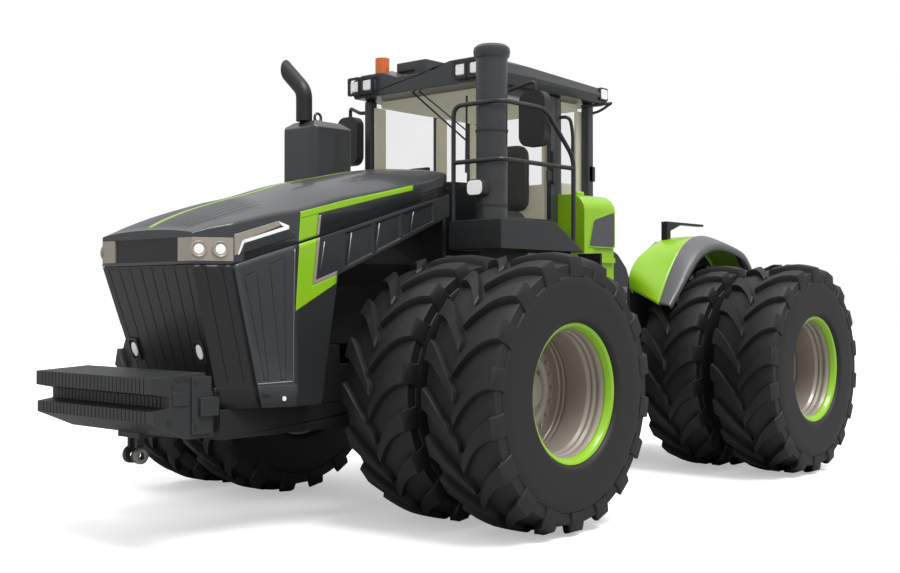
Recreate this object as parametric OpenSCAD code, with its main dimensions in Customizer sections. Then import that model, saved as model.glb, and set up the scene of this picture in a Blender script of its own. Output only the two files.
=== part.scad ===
// Articulated four wheel drive farm tractor with dual wheels, pieces in one frame.
// Millimetres; X forward, Y left, Z up; the ground under the middle of the box is the origin.

/* [Stance] */
// Distance between the front and rear axles
wheelbase = 4030; // [3900:10:4200]
// Front axle to the nose of the front weights
front_reach = 2580; // [2540:10:2640]
// Rear axle to the end of the drawbar
rear_reach = 1290; // [1270:10:1400]
// Distance between the middle planes of the two inner tyres
inner_track = 2130; // [2130:10:2300]
// Distance between the middle planes of a pair of tyres
dual_spacing = 790; // [760:10:900]

/* [Tyres] */
// Tyre diameter over the lugs
tyre_d = 2040; // [1980:10:2050]
// Tyre section width
tyre_w = 650; // [620:10:660]
// Width across the tread
tread_w = 610; // [560:10:620]
// Drop of the tread from the crown to the shoulder
shoulder_drop = 34; // [10:2:60]
// Height of the straight shoulder side
shoulder_h = 110; // [60:5:160]
// Height of the tread lugs
lug_h = 55; // [40:1:60]
// Number of lugs on each side of a tyre
lug_count = 18; // [14:1:20]
// Width of a lug in the middle of the tread
lug_in_w = 75; // [60:5:90]
// Width of a lug at the shoulder
lug_out_w = 165; // [130:5:190]
// Distance round the tyre that a lug leans from the middle to the shoulder
lug_lean = 310; // [250:5:340]

// Thickness of the tread over the air space
crown_t = 60; // [50:2:80]

/* [Rims and hubs] */
// Diameter of the rim flange
flange_d = 1016; // [1000:2:1030]
// Diameter of the bead seat
seat_d = 956; // [940:2:970]
// Width of a rim over its flanges
rim_w = 610; // [580:10:620]
// Diameter of the inner step of the rim band
well_d = 850; // [800:5:880]
// Distance of a disc from the middle plane of its tyre
disc_set = 200; // [150:5:230]
// Thickness of a wheel disc
disc_t = 30; // [20:2:40]
// Diameter of the spacer drum between the two discs
drum_d = 560; // [480:10:640]
// Diameter of the hub at the axle end
hub_d = 500; // [420:10:540]
// Distance of the hub's inner face inside the middle of the inner tyre
hub_set = 165; // [150:5:180]
// Diameter of the hub cap on the outer disc
cap_d = 330; // [280:5:380]
// Projection of the hub cap
cap_h = 90; // [40:5:120]
// Diameter of the axle spindle
spindle_d = 210; // [180:5:240]
// Length of the spindle inside the hub
spindle_l = 250; // [200:10:300]

/* [Axles] */
// Diameter of the axle tubes
axle_d = 300; // [260:5:310]
// Diameter of the differential housing
bowl_d = 560; // [480:10:590]
// Width of the differential housing
bowl_w = 560; // [480:10:640]

/* [Frame] */
// Height of the lower edge of the frame rails
frame_z = 720; // [700:10:740]
// Depth of the frame rails
frame_h = 480; // [470:10:490]
// Distance over the two frame rails
frame_w = 940; // [900:10:960]
// Thickness of a frame rail
rail_t = 50; // [40:5:70]
// Front axle to the front end of the front frame
frame_front = 1800; // [1760:10:1830]
// Front axle to the low front part of the rails
neck_x = 1270; // [1240:5:1300]
// Length of the slope to the low front part of the rails
neck_l = 160; // [120:10:200]
// Length of the hinge from the front frame's end to the pivot
hinge_front_l = 375; // [360:5:390]
// Length of the hinge from the pivot to the rear rails
hinge_rear_l = 645; // [635:5:660]
// Thickness of the bulkheads and cross plates
plate_t = 60; // [40:5:80]
// Width of the cross members along the frame
cross_w = 140; // [100:10:180]
// Height of the cross members
cross_h = 120; // [80:10:140]
// Front axle to the engine's front mount
mount_front = 800; // [700:10:900]
// Front axle back to the engine's rear mount
mount_back = 330; // [320:5:360]
// Length of an engine mount
mount_l = 160; // [120:10:200]
// Width of an engine mount
mount_w = 190; // [160:10:200]
// Front axle back to the transmission's front cross member
gear_cross_front = 600; // [560:10:640]
// Distance of the transmission's rear cross member from the frame's end
gear_cross_set = 290; // [260:10:320]
// Front axle back to the front cab mounts
cab_mount_front = 900; // [860:10:940]
// Distance of the rear cab mounts from the frame's end
cab_mount_set = 80; // [70:5:120]
// Width of a cab mount post
cab_mount_w = 100; // [80:5:140]

/* [Steering hinge] */
// Diameter of the hinge pin
pin_d = 120; // [100:5:140]
// Width of a hinge lug
lug_w = 280; // [240:10:300]
// Thickness of a hinge lug
lug_t = 60; // [40:5:80]
// Diameter of the yoke's upright barrel
yoke_d = 260; // [220:10:270]
// Diameter of the roll tube
roll_d = 280; // [240:10:290]
// Diameter of the roll bearing
bearing_d = 400; // [360:10:410]
// Distance of the roll bearing behind the pivot
bearing_back = 200; // [190:5:220]
// Space between the yoke and the lugs
yoke_gap = 5; // [2:1:8]
// Running space of a pin or shaft in its bore, all round
run_gap = 0.3; // [0.2:0.1:0.5]

/* [Steering cylinders] */
// Height of the cylinders
cyl_z = 930; // [920:5:940]
// Diameter of a cylinder barrel
cyl_d = 110; // [90:5:120]
// Diameter of a cylinder rod
rod_d = 56; // [40:2:64]
// Length of a barrel from its pin
cyl_l = 640; // [620:10:660]
// Distance of the barrel pin ahead of the pivot
cyl_pin_ahead = 1060; // [1040:10:1080]
// Distance of the rod eye behind the pivot
eye_back = 80; // [60:5:100]
// Length of rod inside the barrel
rod_in = 250; // [220:10:280]
// Diameter of the barrel eye and the rod eye
eye_d = 100; // [80:5:110]
// Height of an eye
eye_h = 84; // [70:2:100]
// Diameter of a cylinder pin
cyl_pin_d = 44; // [36:2:50]
// Distance of a cylinder from the outside of the rail
cyl_set = 170; // [160:5:180]
// Thickness of the plates that carry the cylinders
ear_t = 40; // [30:2:50]
// Width of the windows for the cylinders in the bulkhead
window_w = 190; // [180:5:200]
// Height of the windows for the cylinders in the bulkhead
window_h = 200; // [180:10:220]

/* [Engine and transmission] */
// Width of the engine block
engine_w = 620; // [560:10:640]
// Length of the engine block
engine_l = 1400; // [1300:10:1450]
// Front axle to the front of the engine
engine_front = 1000; // [960:10:1040]
// Height of the engine's lower edge
engine_z = 1350; // [1340:5:1380]
// Height of the engine block
engine_h = 640; // [560:10:680]
// Width of the transmission
gear_w = 640; // [560:10:660]
// Front axle back to the front of the transmission
gear_front = 430; // [420:5:460]
// Length of the transmission
gear_l = 1000; // [960:10:1020]
// Height of the transmission
gear_h = 640; // [600:10:650]

/* [Hood] */
// Front axle to the hood's nose
nose_x = 2150; // [2120:10:2180]
// Length of the hood
hood_l = 2500; // [2480:10:2510]
// Width of the hood over its sides
hood_w = 1300; // [1280:10:1310]
// Width of the hood's front face
hood_front_w = 1070; // [1000:10:1120]
// Width of the hood at the rear
hood_rear_w = 1230; // [1200:10:1260]
// Length of the slanted front corner
facet_l = 260; // [220:10:300]
// Height of the hood's nose
brow_z = 2180; // [2160:5:2200]
// Rise of the hood's middle from the nose to the rear
hood_rise = 620; // [600:5:630]
// Largest crown of the hood over its side edges
hood_crown = 160; // [130:5:170]
// Height of the hood's lower edge at the nose
skirt_z = 1935; // [1925:5:1945]
// Rise of the hood's lower edge to the rear
skirt_rise = 635; // [600:5:650]
// Radius of the hood's upper side edge
hood_edge = 60; // [30:5:80]
// Wall of the hood
hood_t = 28; // [20:2:36]
// Space between the hood and the panels under it
hood_gap = 10; // [8:1:14]
// Height of the lower edge of the lamp band in the hood's front
band_z = 1958; // [1950:2:1966]
// Height of the lamp band
band_h = 160; // [150:2:170]
// Distance of a lamp housing's inner end from the middle
housing_y = 375; // [340:5:400]
// Diameter of a headlamp
headlamp_d = 104; // [80:2:120]
// Hood hinge height
hood_hinge_z = 2600; // [2580:5:2620]
// Diameter of the hood hinge pins
hood_pin_d = 30; // [20:2:36]
// Distance of the hood hinge ears from the middle
hood_ear_y = 400; // [380:5:420]
// Thickness of a hood hinge ear
hood_ear_t = 24; // [16:2:30]
// Size of the eye of a hood hinge ear
hood_ear_d = 80; // [70:2:90]

/* [Nose and side panels] */
// Height of the nose's lower edge
nose_z = 930; // [910:5:940]
// Lean of the nose front from its top to its bottom
nose_lean = 310; // [280:5:330]
// Width of the nose front at the bottom
nose_low_w = 880; // [820:10:940]
// Width over the slanted corner at the bottom
nose_low_corner_w = 1100; // [1060:10:1140]
// Length of the slanted corner at the bottom
nose_low_facet = 280; // [240:10:320]
// Wall of the nose and of the side panels
panel_t = 30; // [20:2:40]
// Front axle to the joint of the nose and the side panels
panel_front = 1310; // [1280:10:1340]
// Front axle to the panels' lower rear corner
panel_low_x = 1070; // [1060:5:1090]
// Front axle to the panels' middle corner
panel_mid_x = 905; // [880:5:930]
// Height of the panels' middle corner
panel_mid_z = 1875; // [1850:5:1900]
// Height of the panels' lower edge at the rear
panel_back_z = 2375; // [2340:5:2390]
// Height of the bumper band along the nose's lower edge
bumper_h = 160; // [140:5:180]
// Number of grooves down the nose's front
groove_count = 7; // [5:2:9]
// Distance of a nose lamp from the middle
nose_lamp_y = 390; // [380:5:395]
// Height of the middle of a nose lamp
nose_lamp_z = 1335; // [1300:5:1360]
// Space between the nose and the side panels
panel_joint = 0.4; // [0.3:0.1:0.8]

/* [Front weights and clevis] */
// Width of the weight pack
weight_w = 1400; // [1320:10:1440]
// Number of weights
weight_count = 32; // [28:2:34]
// Front axle to the back of the weights
weight_back = 2100; // [2080:10:2120]
// Height of the weights' lower edge
weight_z = 782; // [770:2:800]
// Height of the weight pack
weight_h = 431; // [420:1:440]
// Height of the weight carrier
carrier_h = 150; // [120:5:180]
// Height of the carrier's lower edge
carrier_z = 770; // [760:5:790]
// Distance of the clevis eyes under the carrier
clevis_drop = 125; // [110:5:140]
// Diameter of the clevis eyes
clevis_d = 120; // [100:5:130]
// Diameter of the clevis pin hole
clevis_bore = 40; // [30:2:50]
// Thickness of a clevis plate
clevis_t = 30; // [20:2:40]

/* [Cab] */
// Front axle back to the front of the cab
cab_front = 750; // [740:5:770]
// Length of the cab
cab_l = 1550; // [1500:10:1580]
// Width of the cab over its posts
cab_w = 1500; // [1480:10:1560]
// Height of the cab's floor from the ground
cab_z = 1900; // [1890:5:1920]
// Height of the sill
sill_z = 2330; // [2320:5:2350]
// Depth of the sill
sill_h = 220; // [200:5:230]
// Width of the floor tub
tub_w = 1300; // [1280:10:1320]
// Wall of the floor tub
tub_t = 40; // [30:2:60]
// Height of the roof's underside
roof_z = 3530; // [3510:5:3550]
// Size of a cab post
post_t = 90; // [70:5:100]
// Front axle back to the middle posts
post_mid = 1700; // [1680:5:1720]
// Height of the windscreen's lower edge
screen_z = 2660; // [2620:5:2700]
// Height of the rear window's lower edge
rear_sill_z = 2720; // [2680:5:2760]
// Thickness of glass
glass_t = 12; // [8:1:16]
// Space between glass and posts
glass_gap = 0.4; // [0.3:0.1:0.8]
// Thickness of the lower cab panels
cab_panel_t = 40; // [30:2:50]

/* [Roof] */
// Front axle back to the roof's front edge
roof_front = 630; // [610:5:650]
// Length of the roof
roof_l = 1820; // [1780:10:1860]
// Width of the roof
roof_w = 1740; // [1700:10:1780]
// Width of the roof's front
roof_front_w = 1600; // [1540:10:1660]
// Height of the roof at its sides
roof_h = 245; // [220:5:260]
// Height of the roof at its rear
roof_rear_h = 155; // [140:5:190]
// Drop of the roof's middle between its lamp pods
roof_dip = 72; // [40:2:90]
// Size of a roof lamp
roof_lamp_w = 110; // [90:5:120]
// Distance of the outer roof lamps from the middle
roof_lamp_y = 716; // [700:2:725]
// Distance between neighbouring roof lamps
roof_lamp_step = 160; // [150:5:170]
// Width of the receiver on the roof
receiver_w = 370; // [340:10:400]
// Length of the receiver on the roof
receiver_l = 280; // [240:10:320]
// Diameter of the beacon
beacon_d = 130; // [110:5:150]
// Height of the beacon
beacon_h = 140; // [120:5:160]

/* [Door] */
// Space around the door
door_gap = 8; // [6:1:10]
// Thickness of the door frame
door_t = 50; // [40:2:60]
// Width of the door frame's bars
door_bar = 70; // [55:5:80]
// Distance of the hinge line outside the cab
door_hinge_out = 34; // [30:2:40]
// Front axle back to the door's hinge line
door_hinge_back = 800; // [790:5:810]
// Diameter of the door hinge pins
door_pin_d = 24; // [18:2:28]
// Diameter of a door hinge knuckle
knuckle_d = 48; // [40:2:54]
// Height of a door hinge knuckle
knuckle_h = 70; // [50:5:90]
// Height of the lower door hinge
door_hinge_low = 2560; // [2500:10:2600]
// Height of the upper door hinge
door_hinge_high = 3220; // [3180:10:3300]

/* [Seat and wheel] */
// Width of the seat
seat_w = 560; // [500:10:600]
// Length of the seat
seat_l = 540; // [480:10:580]
// Height of the seat over the cab's floor
seat_h = 560; // [500:10:600]
// Height of the seat's back
seat_back_h = 700; // [640:10:760]
// Front axle back to the seat's front edge
seat_front = 1480; // [1440:10:1520]
// Thickness of the seat's cushions
cushion_t = 140; // [120:5:160]
// Diameter of the steering wheel
wheel_d = 440; // [400:10:460]
// Thickness of the steering wheel's ring
wheel_t = 36; // [28:2:44]
// Height of the steering column over the floor
column_h = 760; // [700:10:800]
// Front axle back to the steering column
column_back = 1060; // [1020:10:1100]
// Size of the steering column
column_w = 180; // [140:10:220]

/* [Decks and rails] */
// Width of a deck beside the cab
deck_w = 550; // [520:10:570]
// Front axle back to the front of the deck
deck_front = 220; // [200:5:240]
// Length of the deck's top
deck_l = 720; // [680:10:760]
// Length of the slope at the deck's rear
deck_slope = 420; // [400:10:450]
// Depth of the deck
deck_h = 235; // [220:5:240]
// Diameter of the hand rails
rail_d = 38; // [30:2:44]
// Wall of the decks
deck_t = 24; // [18:1:30]
// Radius of the bends of the hand rails
rail_turn = 90; // [60:5:120]
// Height of the hand rail over the deck
hand_rail_h = 930; // [880:10:980]
// Height of the middle rail over the deck
mid_rail_h = 470; // [440:10:500]
// Height of the low rear end of the hand rail
rail_low_h = 560; // [520:10:600]
// Front axle back to the rail's rear post
rail_back = 1230; // [1200:10:1250]
// Distance of the rail from the deck's outer edge
rail_inset = 30; // [25:1:40]
// Front axle back to the ladder
ladder_back = 1170; // [1160:5:1180]
// Length of a ladder step
step_l = 420; // [400:10:440]
// Width of a ladder step
step_w = 240; // [200:10:280]
// Thickness of a ladder step
step_t = 36; // [28:2:44]
// Number of ladder steps
step_count = 5; // [4:1:6]
// Height of the lowest ladder step
step_z = 560; // [520:10:600]
// Thickness of the ladder's side plates
ladder_t = 24; // [20:2:30]

/* [Stacks and mirrors] */
// Diameter of the intake stack
stack_d = 255; // [240:5:270]
// Diameter of the intake stack's cap
stack_cap_d = 300; // [280:5:320]
// Height of the intake stack's top
stack_z = 3750; // [3700:10:3780]
// Front axle back to the intake stack
stack_back = 420; // [400:5:440]
// Distance of the intake stack from the middle
stack_y = 1040; // [1000:5:1060]
// Height of the cap on the intake stack
stack_cap_h = 120; // [100:5:140]
// Length of the exhaust box
box_l = 500; // [460:10:520]
// Width of the exhaust box
box_w = 440; // [400:10:460]
// Height of the top of the exhaust box
box_z = 3290; // [3240:10:3320]
// Front axle back to the middle of the exhaust box
box_back = 300; // [290:5:310]
// Distance of the exhaust box from the middle
box_y = 890; // [885:5:900]
// Wall of the exhaust box
box_t = 24; // [16:2:30]
// Distance of the exhaust pipe in front of the box's middle
pipe_ahead = 165; // [150:5:170]
// Height of the straight part of the exhaust pipe over the box
pipe_l = 270; // [250:10:290]
// Distance of the pipe's upright cut from its foot
pipe_reach = 237; // [230:1:240]
// Diameter of the exhaust pipe
pipe_d = 145; // [130:5:160]
// Bend of the exhaust pipe in degrees
pipe_angle = 48; // [44:1:52]
// Height of a mirror
mirror_h = 460; // [420:10:480]
// Width of a mirror
mirror_w = 270; // [240:10:280]
// Height of the middle of a mirror
mirror_z = 3200; // [3160:10:3240]
// Distance of a mirror from the middle
mirror_y = 1100; // [1090:5:1110]

/* [Fuel tanks] */
// Front axle back to the front of a tank
tank_front = 1712; // [1708:2:1730]
// Length of a tank
tank_l = 490; // [460:5:500]
// Height of a tank's top
tank_top = 2640; // [2600:10:2680]
// Height of a tank's bottom
tank_z = 1480; // [1440:10:1520]
// Distance of a tank's outer face from the middle
tank_y = 1050; // [1020:5:1060]
// Sloped upper edge of a tank
tank_cut = 150; // [120:5:170]

/* [Rear frame] */
// Rear axle back to the end of the rear rails
rear_back = 930; // [900:10:940]
// Wall of the rear body
body_t = 30; // [20:2:40]
// Radius of the fenders from the rear axle
fender_r = 1270; // [1255:5:1280]
// Thickness of a fender
fender_t = 45; // [36:1:50]
// Distance of a fender's outer edge from the middle of the inner tyre
fender_out = 55; // [40:5:70]
// Width of the grey outer band of a fender
fender_band = 170; // [150:5:180]
// Space between the rear body and the inner tyres
body_room = 150; // [140:5:160]
// Height of the rear body's top
body_top = 1830; // [1780:10:1880]
// Rear axle ahead to the body's front
body_front = 700; // [660:10:720]
// Rear axle back to the body's rear
body_back = 920; // [880:10:930]
// Height of the bracket over the body
lamp_bracket_h = 190; // [170:10:220]
// Length of the bracket
lamp_bracket_l = 760; // [700:10:800]
// Thickness of the bracket
lamp_bracket_t = 24; // [18:1:30]
// Rear axle ahead to the bracket's post
lamp_bracket_x = 260; // [220:10:300]

/* [Drawbar and rear fittings] */
// Width of the drawbar
bar_w = 140; // [120:5:160]
// Thickness of the drawbar
bar_t = 60; // [50:2:70]
// Height of the drawbar's lower face
bar_z = 480; // [460:10:500]
// Length of the drawbar
bar_l = 900; // [860:10:940]
// Diameter of the drawbar pin hole
bar_bore = 54; // [44:2:60]
// Distance of the pin hole from the drawbar's end
bar_end = 90; // [80:5:100]
// Width of the drawbar hanger
hanger_w = 360; // [320:10:400]
// Width of the coupler block
coupler_w = 520; // [460:10:560]
// Height of the coupler block
coupler_h = 300; // [260:10:340]
// Thickness of the coupler block
coupler_t = 90; // [70:5:100]
// Diameter of a coupler
coupler_d = 56; // [46:2:64]
// Number of couplers in a row
coupler_count = 4; // [3:1:5]
// Width of a tail lamp
tail_w = 130; // [110:5:150]
// Height of a tail lamp
tail_h = 110; // [90:5:130]
// Thickness of a tail lamp
tail_t = 50; // [40:2:60]

/* [Hidden] */
$fn = 64;
eps = 1;
big = 4000;
receiver_h = 90;
roof_lamp_h = 90;
coupler_l = 60;
hanger_t = 90;
arm_d = 34;
mirror_r = 90;
pipe_bend = 70;
roof_lamp_t = 40;
receiver_y = 255;
clevis_gap = 60;
groove_w = 8;
groove_t = 6;
bumper_t = 8;
pocket_w = 150;
pocket_h = 140;
pocket_t = 18;
vent_t = 14;
vent_bar = 34;
weight_groove = 8;
tongue_t = 40;
tongue_w = 260;
tongue_l = 186;
stem_w = 56;
box_corner = 50;
box_slope_h = 70;
box_slope_w = 90;
pipe_end_l = 400;
mirror_deep = 90;
mirror_back = 120;
headlamp_t = 8;
recess_t = 14;
tank_inset = 14;
fender_lip = 80;
lip_t = 22;
band_t = 18;
bead_t = 60;
wall_t = 40;
hinge_foot = 40;
keeper_t = 30;
overall_length = front_reach + wheelbase + rear_reach;
front_x = overall_length / 2 - front_reach;
rear_x = front_x - wheelbase;
pivot_setback = wheelbase / 2;
pivot_x = front_x - pivot_setback;
frame_back = pivot_setback - hinge_front_l;
rear_front = wheelbase - pivot_setback - hinge_rear_l;
gear_cross_back = frame_back - gear_cross_set;
cab_mount_back = frame_back - cab_mount_set;
cyl_y = frame_w / 2 - cyl_set;
tyre_r = tyre_d / 2;
inner_y = inner_track / 2;
outer_y = inner_y + dual_spacing;
hub_y = inner_y - hub_set;
body_w = inner_track - tyre_w - body_room * 2;
fender_y = inner_y + fender_out;
carcass_r = tyre_r - lug_h;
lug_root = 20;
disc_in = inner_y + disc_set;
disc_out = outer_y - disc_set;
rail_y = frame_w / 2 - rail_t;
frame_top = frame_z + frame_h;
lug_low = frame_z;
lug_high = frame_top;
roll_z = (lug_low + lug_t + lug_high) / 2;
gear_z = frame_top;
roll_l = wheelbase - pivot_setback - rear_front + yoke_gap;
cab_y = cab_w / 2;
cab_back = cab_front + cab_l;
hood_back = hood_l - nose_x;
hood_hinge_back = hood_back;
seat_gap = run_gap;
facet_share = facet_l / hood_l;
hood_x_shares = [1, 0.93, 0.8, 0.66, 0.5, 0.36, 0.24, facet_share, 0.03, 0];
hood_rise_shares = [1, 0.992, 0.926, 0.81, 0.673, 0.505, 0.374, 0.197, 0.068, 0];
hood_crown_shares = [0.41, 0.8, 1, 1, 0.94, 0.88, 0.72, 0.52, 0.3, 0.19];
top_shares = [0.45, 0.8];
crown_shares = [0.8, 0.32];
edge_share = 0.3;
fender_shares = [[0.69, 0.58], [0.67, 0.69], [0.585, 0.8], [0.43, 0.915], [0.265, 1], [-0.385, 1],
    [-0.54, 0.945], [-0.68, 0.825], [-0.75, 0.7]];
band_shares = [[0.75, 0.486], [0.64, 0.61], [0.525, 0.745], [0.375, 0.91], [0.265, 0.975], [-0.35, 0.975],
    [-0.48, 0.925], [-0.6, 0.819], [-0.68, 0.709]];
bend_steps = 4;
graphite = [0.24, 0.25, 0.26];
dark_grey = [0.17, 0.18, 0.19];
lime = [0.65, 0.88, 0.09];
greige = [0.7, 0.66, 0.61];

// Helpers: places, lathe work about the axles, boxes from corner to corner, tubes and lofts.
function flat_list(lists) = [for (one = lists) for (item = one) item];
function mirrored(half) = [for (i = [len(half) - 1 : -1 : 0]) [half[i][0], -half[i][1]]];
module at_front() {
    translate([front_x, 0, 0]) children();
}
module at_rear() {
    translate([rear_x, 0, 0]) children();
}
module at_pivot() {
    translate([pivot_x, 0, 0]) children();
}
module both_sides() {
    children();
    mirror([0, 1, 0]) children();
}
module block(low, high) {
    translate(low) cube(high - low);
}
module lathe_y(points) {
    rotate([-90, 0, 0]) rotate_extrude($fn = 128) polygon(points);
}
module rod_x(from, to, d) {
    translate(from) rotate([0, 90, 0]) cylinder(d = d, h = to - from[0]);
}
module rod_y(from, to, d) {
    translate(from) rotate([-90, 0, 0]) cylinder(d = d, h = to - from[1]);
}
function unit(v) = v / norm(v);
function turned(v, along) = unit(v - (v * along) * along);
function bend(a, b, c, r) =
    let (p = b + unit(a - b) * r, q = b + unit(c - b) * r)
    [for (k = [0 : bend_steps]) let (s = k / bend_steps)
        p * pow(1 - s, 2) + b * 2 * s * (1 - s) + q * pow(s, 2)];
function rounded(points, r) =
    let (last = len(points) - 1)
    concat([points[0]],
        [for (i = [1 : last - 1]) each bend(points[i - 1], points[i], points[i + 1], r)],
        [points[last]]);
function heading(points, i) =
    let (last = len(points) - 1)
    i == 0 ? unit(points[1] - points[0])
    : i == last ? unit(points[last] - points[last - 1])
    : unit(unit(points[i] - points[i - 1]) + unit(points[i + 1] - points[i]));
function side_ways(points, start) = [for (i = 0, v = turned(start, heading(points, 0)); i < len(points);
    i = i + 1, v = i < len(points) ? turned(v, heading(points, i)) : v) v];
module sweep(points, d, start, sides = 10) {
    ways = side_ways(points, start);
    loft([for (i = [0 : len(points) - 1])
        let (along = heading(points, i), u = ways[i], v = cross(along, u))
        [for (k = [0 : sides - 1]) points[i] + (u * cos(360 * k / sides) + v * sin(360 * k / sides)) * d / 2]]);
}
module rounded_plate(w, h, t, r) {
    linear_extrude(t) {
        square([w - r * 2, h], center = true);
        square([w, h - r * 2], center = true);
        for (x = [-1, 1]) for (y = [-1, 1]) translate([x * (w / 2 - r), y * (h / 2 - r)]) circle(r);
    }
}
module side_plate(points, y0, y1) {
    translate([0, y1, 0]) rotate([90, 0, 0]) linear_extrude(y1 - y0) polygon(points);
}
module loft(rings) {
    n = len(rings[0]);
    m = len(rings);
    polyhedron(points = flat_list(rings), faces = concat(
        [[for (j = [0 : n - 1]) j]],
        [for (i = [0 : m - 2]) for (j = [0 : n - 1])
            each [[i * n + j, (i + 1) * n + j, i * n + (j + 1) % n],
                [(i + 1) * n + j, (i + 1) * n + (j + 1) % n, i * n + (j + 1) % n]]],
        [[for (j = [0 : n - 1]) (m - 1) * n + n - 1 - j]]));
}

// Tyres: a round carcass on the bead seats of its rim, with lugs that lean back from the middle of the tread.
function lug_point(r, a, y) = [r * cos(a), y, r * sin(a)];
function round_angle(length) = length / tyre_r * 180 / PI;
function lug_ring(t, a, side) =
    let (lean_power = 1.6, flare_share = 1.15, flat_share = 0.5,
        y = side * tread_w / 2 * t,
        mid = a + round_angle(lug_lean * (1 - pow(1 - t, lean_power))),
        half = round_angle(lug_in_w + (lug_out_w - lug_in_w) * t) / 2,
        fall = shoulder_drop * max(0, (t - flat_share) / (1 - flat_share)),
        tip = tyre_r - fall,
        root = carcass_r - fall - lug_root)
    [lug_point(tip, mid + half, y), lug_point(tip, mid - half, y),
        lug_point(root, mid - half * flare_share, y), lug_point(root, mid + half * flare_share, y)];
module lug(a, side) {
    length_shares = side > 0 ? [0, 0.5, 1] : [1, 0.5, 0];
    loft([for (t = length_shares) lug_ring(t, a, side)]);
}
module lugs() {
    pitch = 360 / lug_count;
    lowest = 270 + round_angle(lug_in_w) / 2;
    for (k = [0 : lug_count - 1]) {
        lug(lowest + pitch * k, 1);
        lug(lowest + pitch * (k + 1 / 2), -1);
    }
}
module tyre(y) {
    bead = rim_w / 2 - lip_t;
    wide = tyre_w / 2;
    tread = tread_w / 2;
    low = seat_d / 2;
    flange = flange_d / 2;
    mid_share = 0.45;
    crown_share = 0.5;
    mid = flange + (carcass_r - flange) * mid_share;
    wall = carcass_r - shoulder_drop - shoulder_h;
    half = concat([[low, bead]],
        [for (a = [0 : 30 : 90]) [flange + (mid - flange) * (1 - cos(a)), bead + (wide - bead) * sin(a)]],
        [for (a = [30 : 30 : 90]) [mid + (wall - mid) * sin(a), tread + (wide - tread) * cos(a)]],
        [[carcass_r - shoulder_drop, tread], [carcass_r, tread * crown_share]]);
    crown = carcass_r - crown_t;
    cavity = bead - bead_t;
    hollow = concat([[low - eps, cavity], [flange, cavity]],
        [for (a = [30 : 30 : 90])
            [flange + (mid - flange) * (1 - cos(a)), cavity + (wide - wall_t - cavity) * sin(a)]],
        [[crown - shoulder_drop * 2, tread - wall_t], [crown, tread * crown_share]]);
    translate([0, y, 0]) {
        difference() {
            lathe_y(concat(half, mirrored(half)));
            lathe_y(concat(hollow, mirrored(hollow)));
        }
        lugs();
    }
}
module tyre_pair() {
    translate([0, 0, tyre_r]) {
        tyre(inner_y);
        tyre(outer_y);
    }
}

// Rims: a band with two flanges and a well, a disc set deep, the drum that joins the pair, hub and cap.
module rim(y, side) {
    edge = rim_w / 2;
    lip = edge - lip_t;
    flange = flange_d / 2;
    seat = seat_d / 2;
    well = well_d / 2;
    near_share = 0.55;
    deep_share = 0.3;
    band = [[flange, edge], [flange, lip], [seat, lip], [seat, -lip], [flange, -lip], [flange, -edge],
        [seat - band_t, -edge], [seat - band_t, -edge * near_share], [well, -edge * deep_share],
        [well, edge * deep_share], [seat - band_t, edge * near_share], [seat - band_t, edge]];
    translate([0, y, 0]) {
        lathe_y(band);
        translate([0, side * disc_set - disc_t / 2, 0])
            rotate([-90, 0, 0]) cylinder(d = seat_d - band_t, h = disc_t, $fn = 128);
    }
}
module rim_pair() {
    translate([0, 0, tyre_r]) difference() {
        union() {
            rim(inner_y, 1);
            rim(outer_y, -1);
            rod_y([0, disc_in, 0], disc_out, drum_d);
            rod_y([0, hub_y, 0], disc_in, hub_d);
            rod_y([0, disc_out, 0], disc_out + cap_h, cap_d);
        }
        rod_y([0, hub_y - eps, 0], hub_y + spindle_l + seat_gap, spindle_d + run_gap * 2);
    }
}
module front_left_tyres() {
    color(dark_grey) at_front() tyre_pair();
}
module front_left_rims() {
    color(greige) at_front() rim_pair();
}
module front_right_tyres() {
    color(dark_grey) at_front() mirror([0, 1, 0]) tyre_pair();
}
module front_right_rims() {
    color(greige) at_front() mirror([0, 1, 0]) rim_pair();
}
module rear_left_tyres() {
    color(dark_grey) at_rear() tyre_pair();
}
module rear_left_rims() {
    color(greige) at_rear() rim_pair();
}
module rear_right_tyres() {
    color(dark_grey) at_rear() mirror([0, 1, 0]) tyre_pair();
}
module rear_right_rims() {
    color(greige) at_rear() mirror([0, 1, 0]) rim_pair();
}

// Axles: a differential housing with a tube each side, through the rails, and a spindle in each hub.
module axle() {
    neck_share = 0.55;
    translate([0, 0, tyre_r]) {
        both_sides() {
            rod_y([0, 0, 0], hub_y - yoke_gap, axle_d);
            rod_y([0, hub_y - yoke_gap - eps, 0], hub_y + spindle_l, spindle_d);
        }
        lathe_y([[0, -bowl_w / 2], [axle_d / 2, -bowl_w / 2], [bowl_d / 2, -bowl_w / 2 * neck_share],
            [bowl_d / 2, bowl_w / 2 * neck_share], [axle_d / 2, bowl_w / 2], [0, bowl_w / 2]]);
    }
}
module front_axle() {
    color([0.36, 0.36, 0.35]) at_front() axle();
}
module rear_axle() {
    color([0.36, 0.36, 0.35]) at_rear() axle();
}

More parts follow.
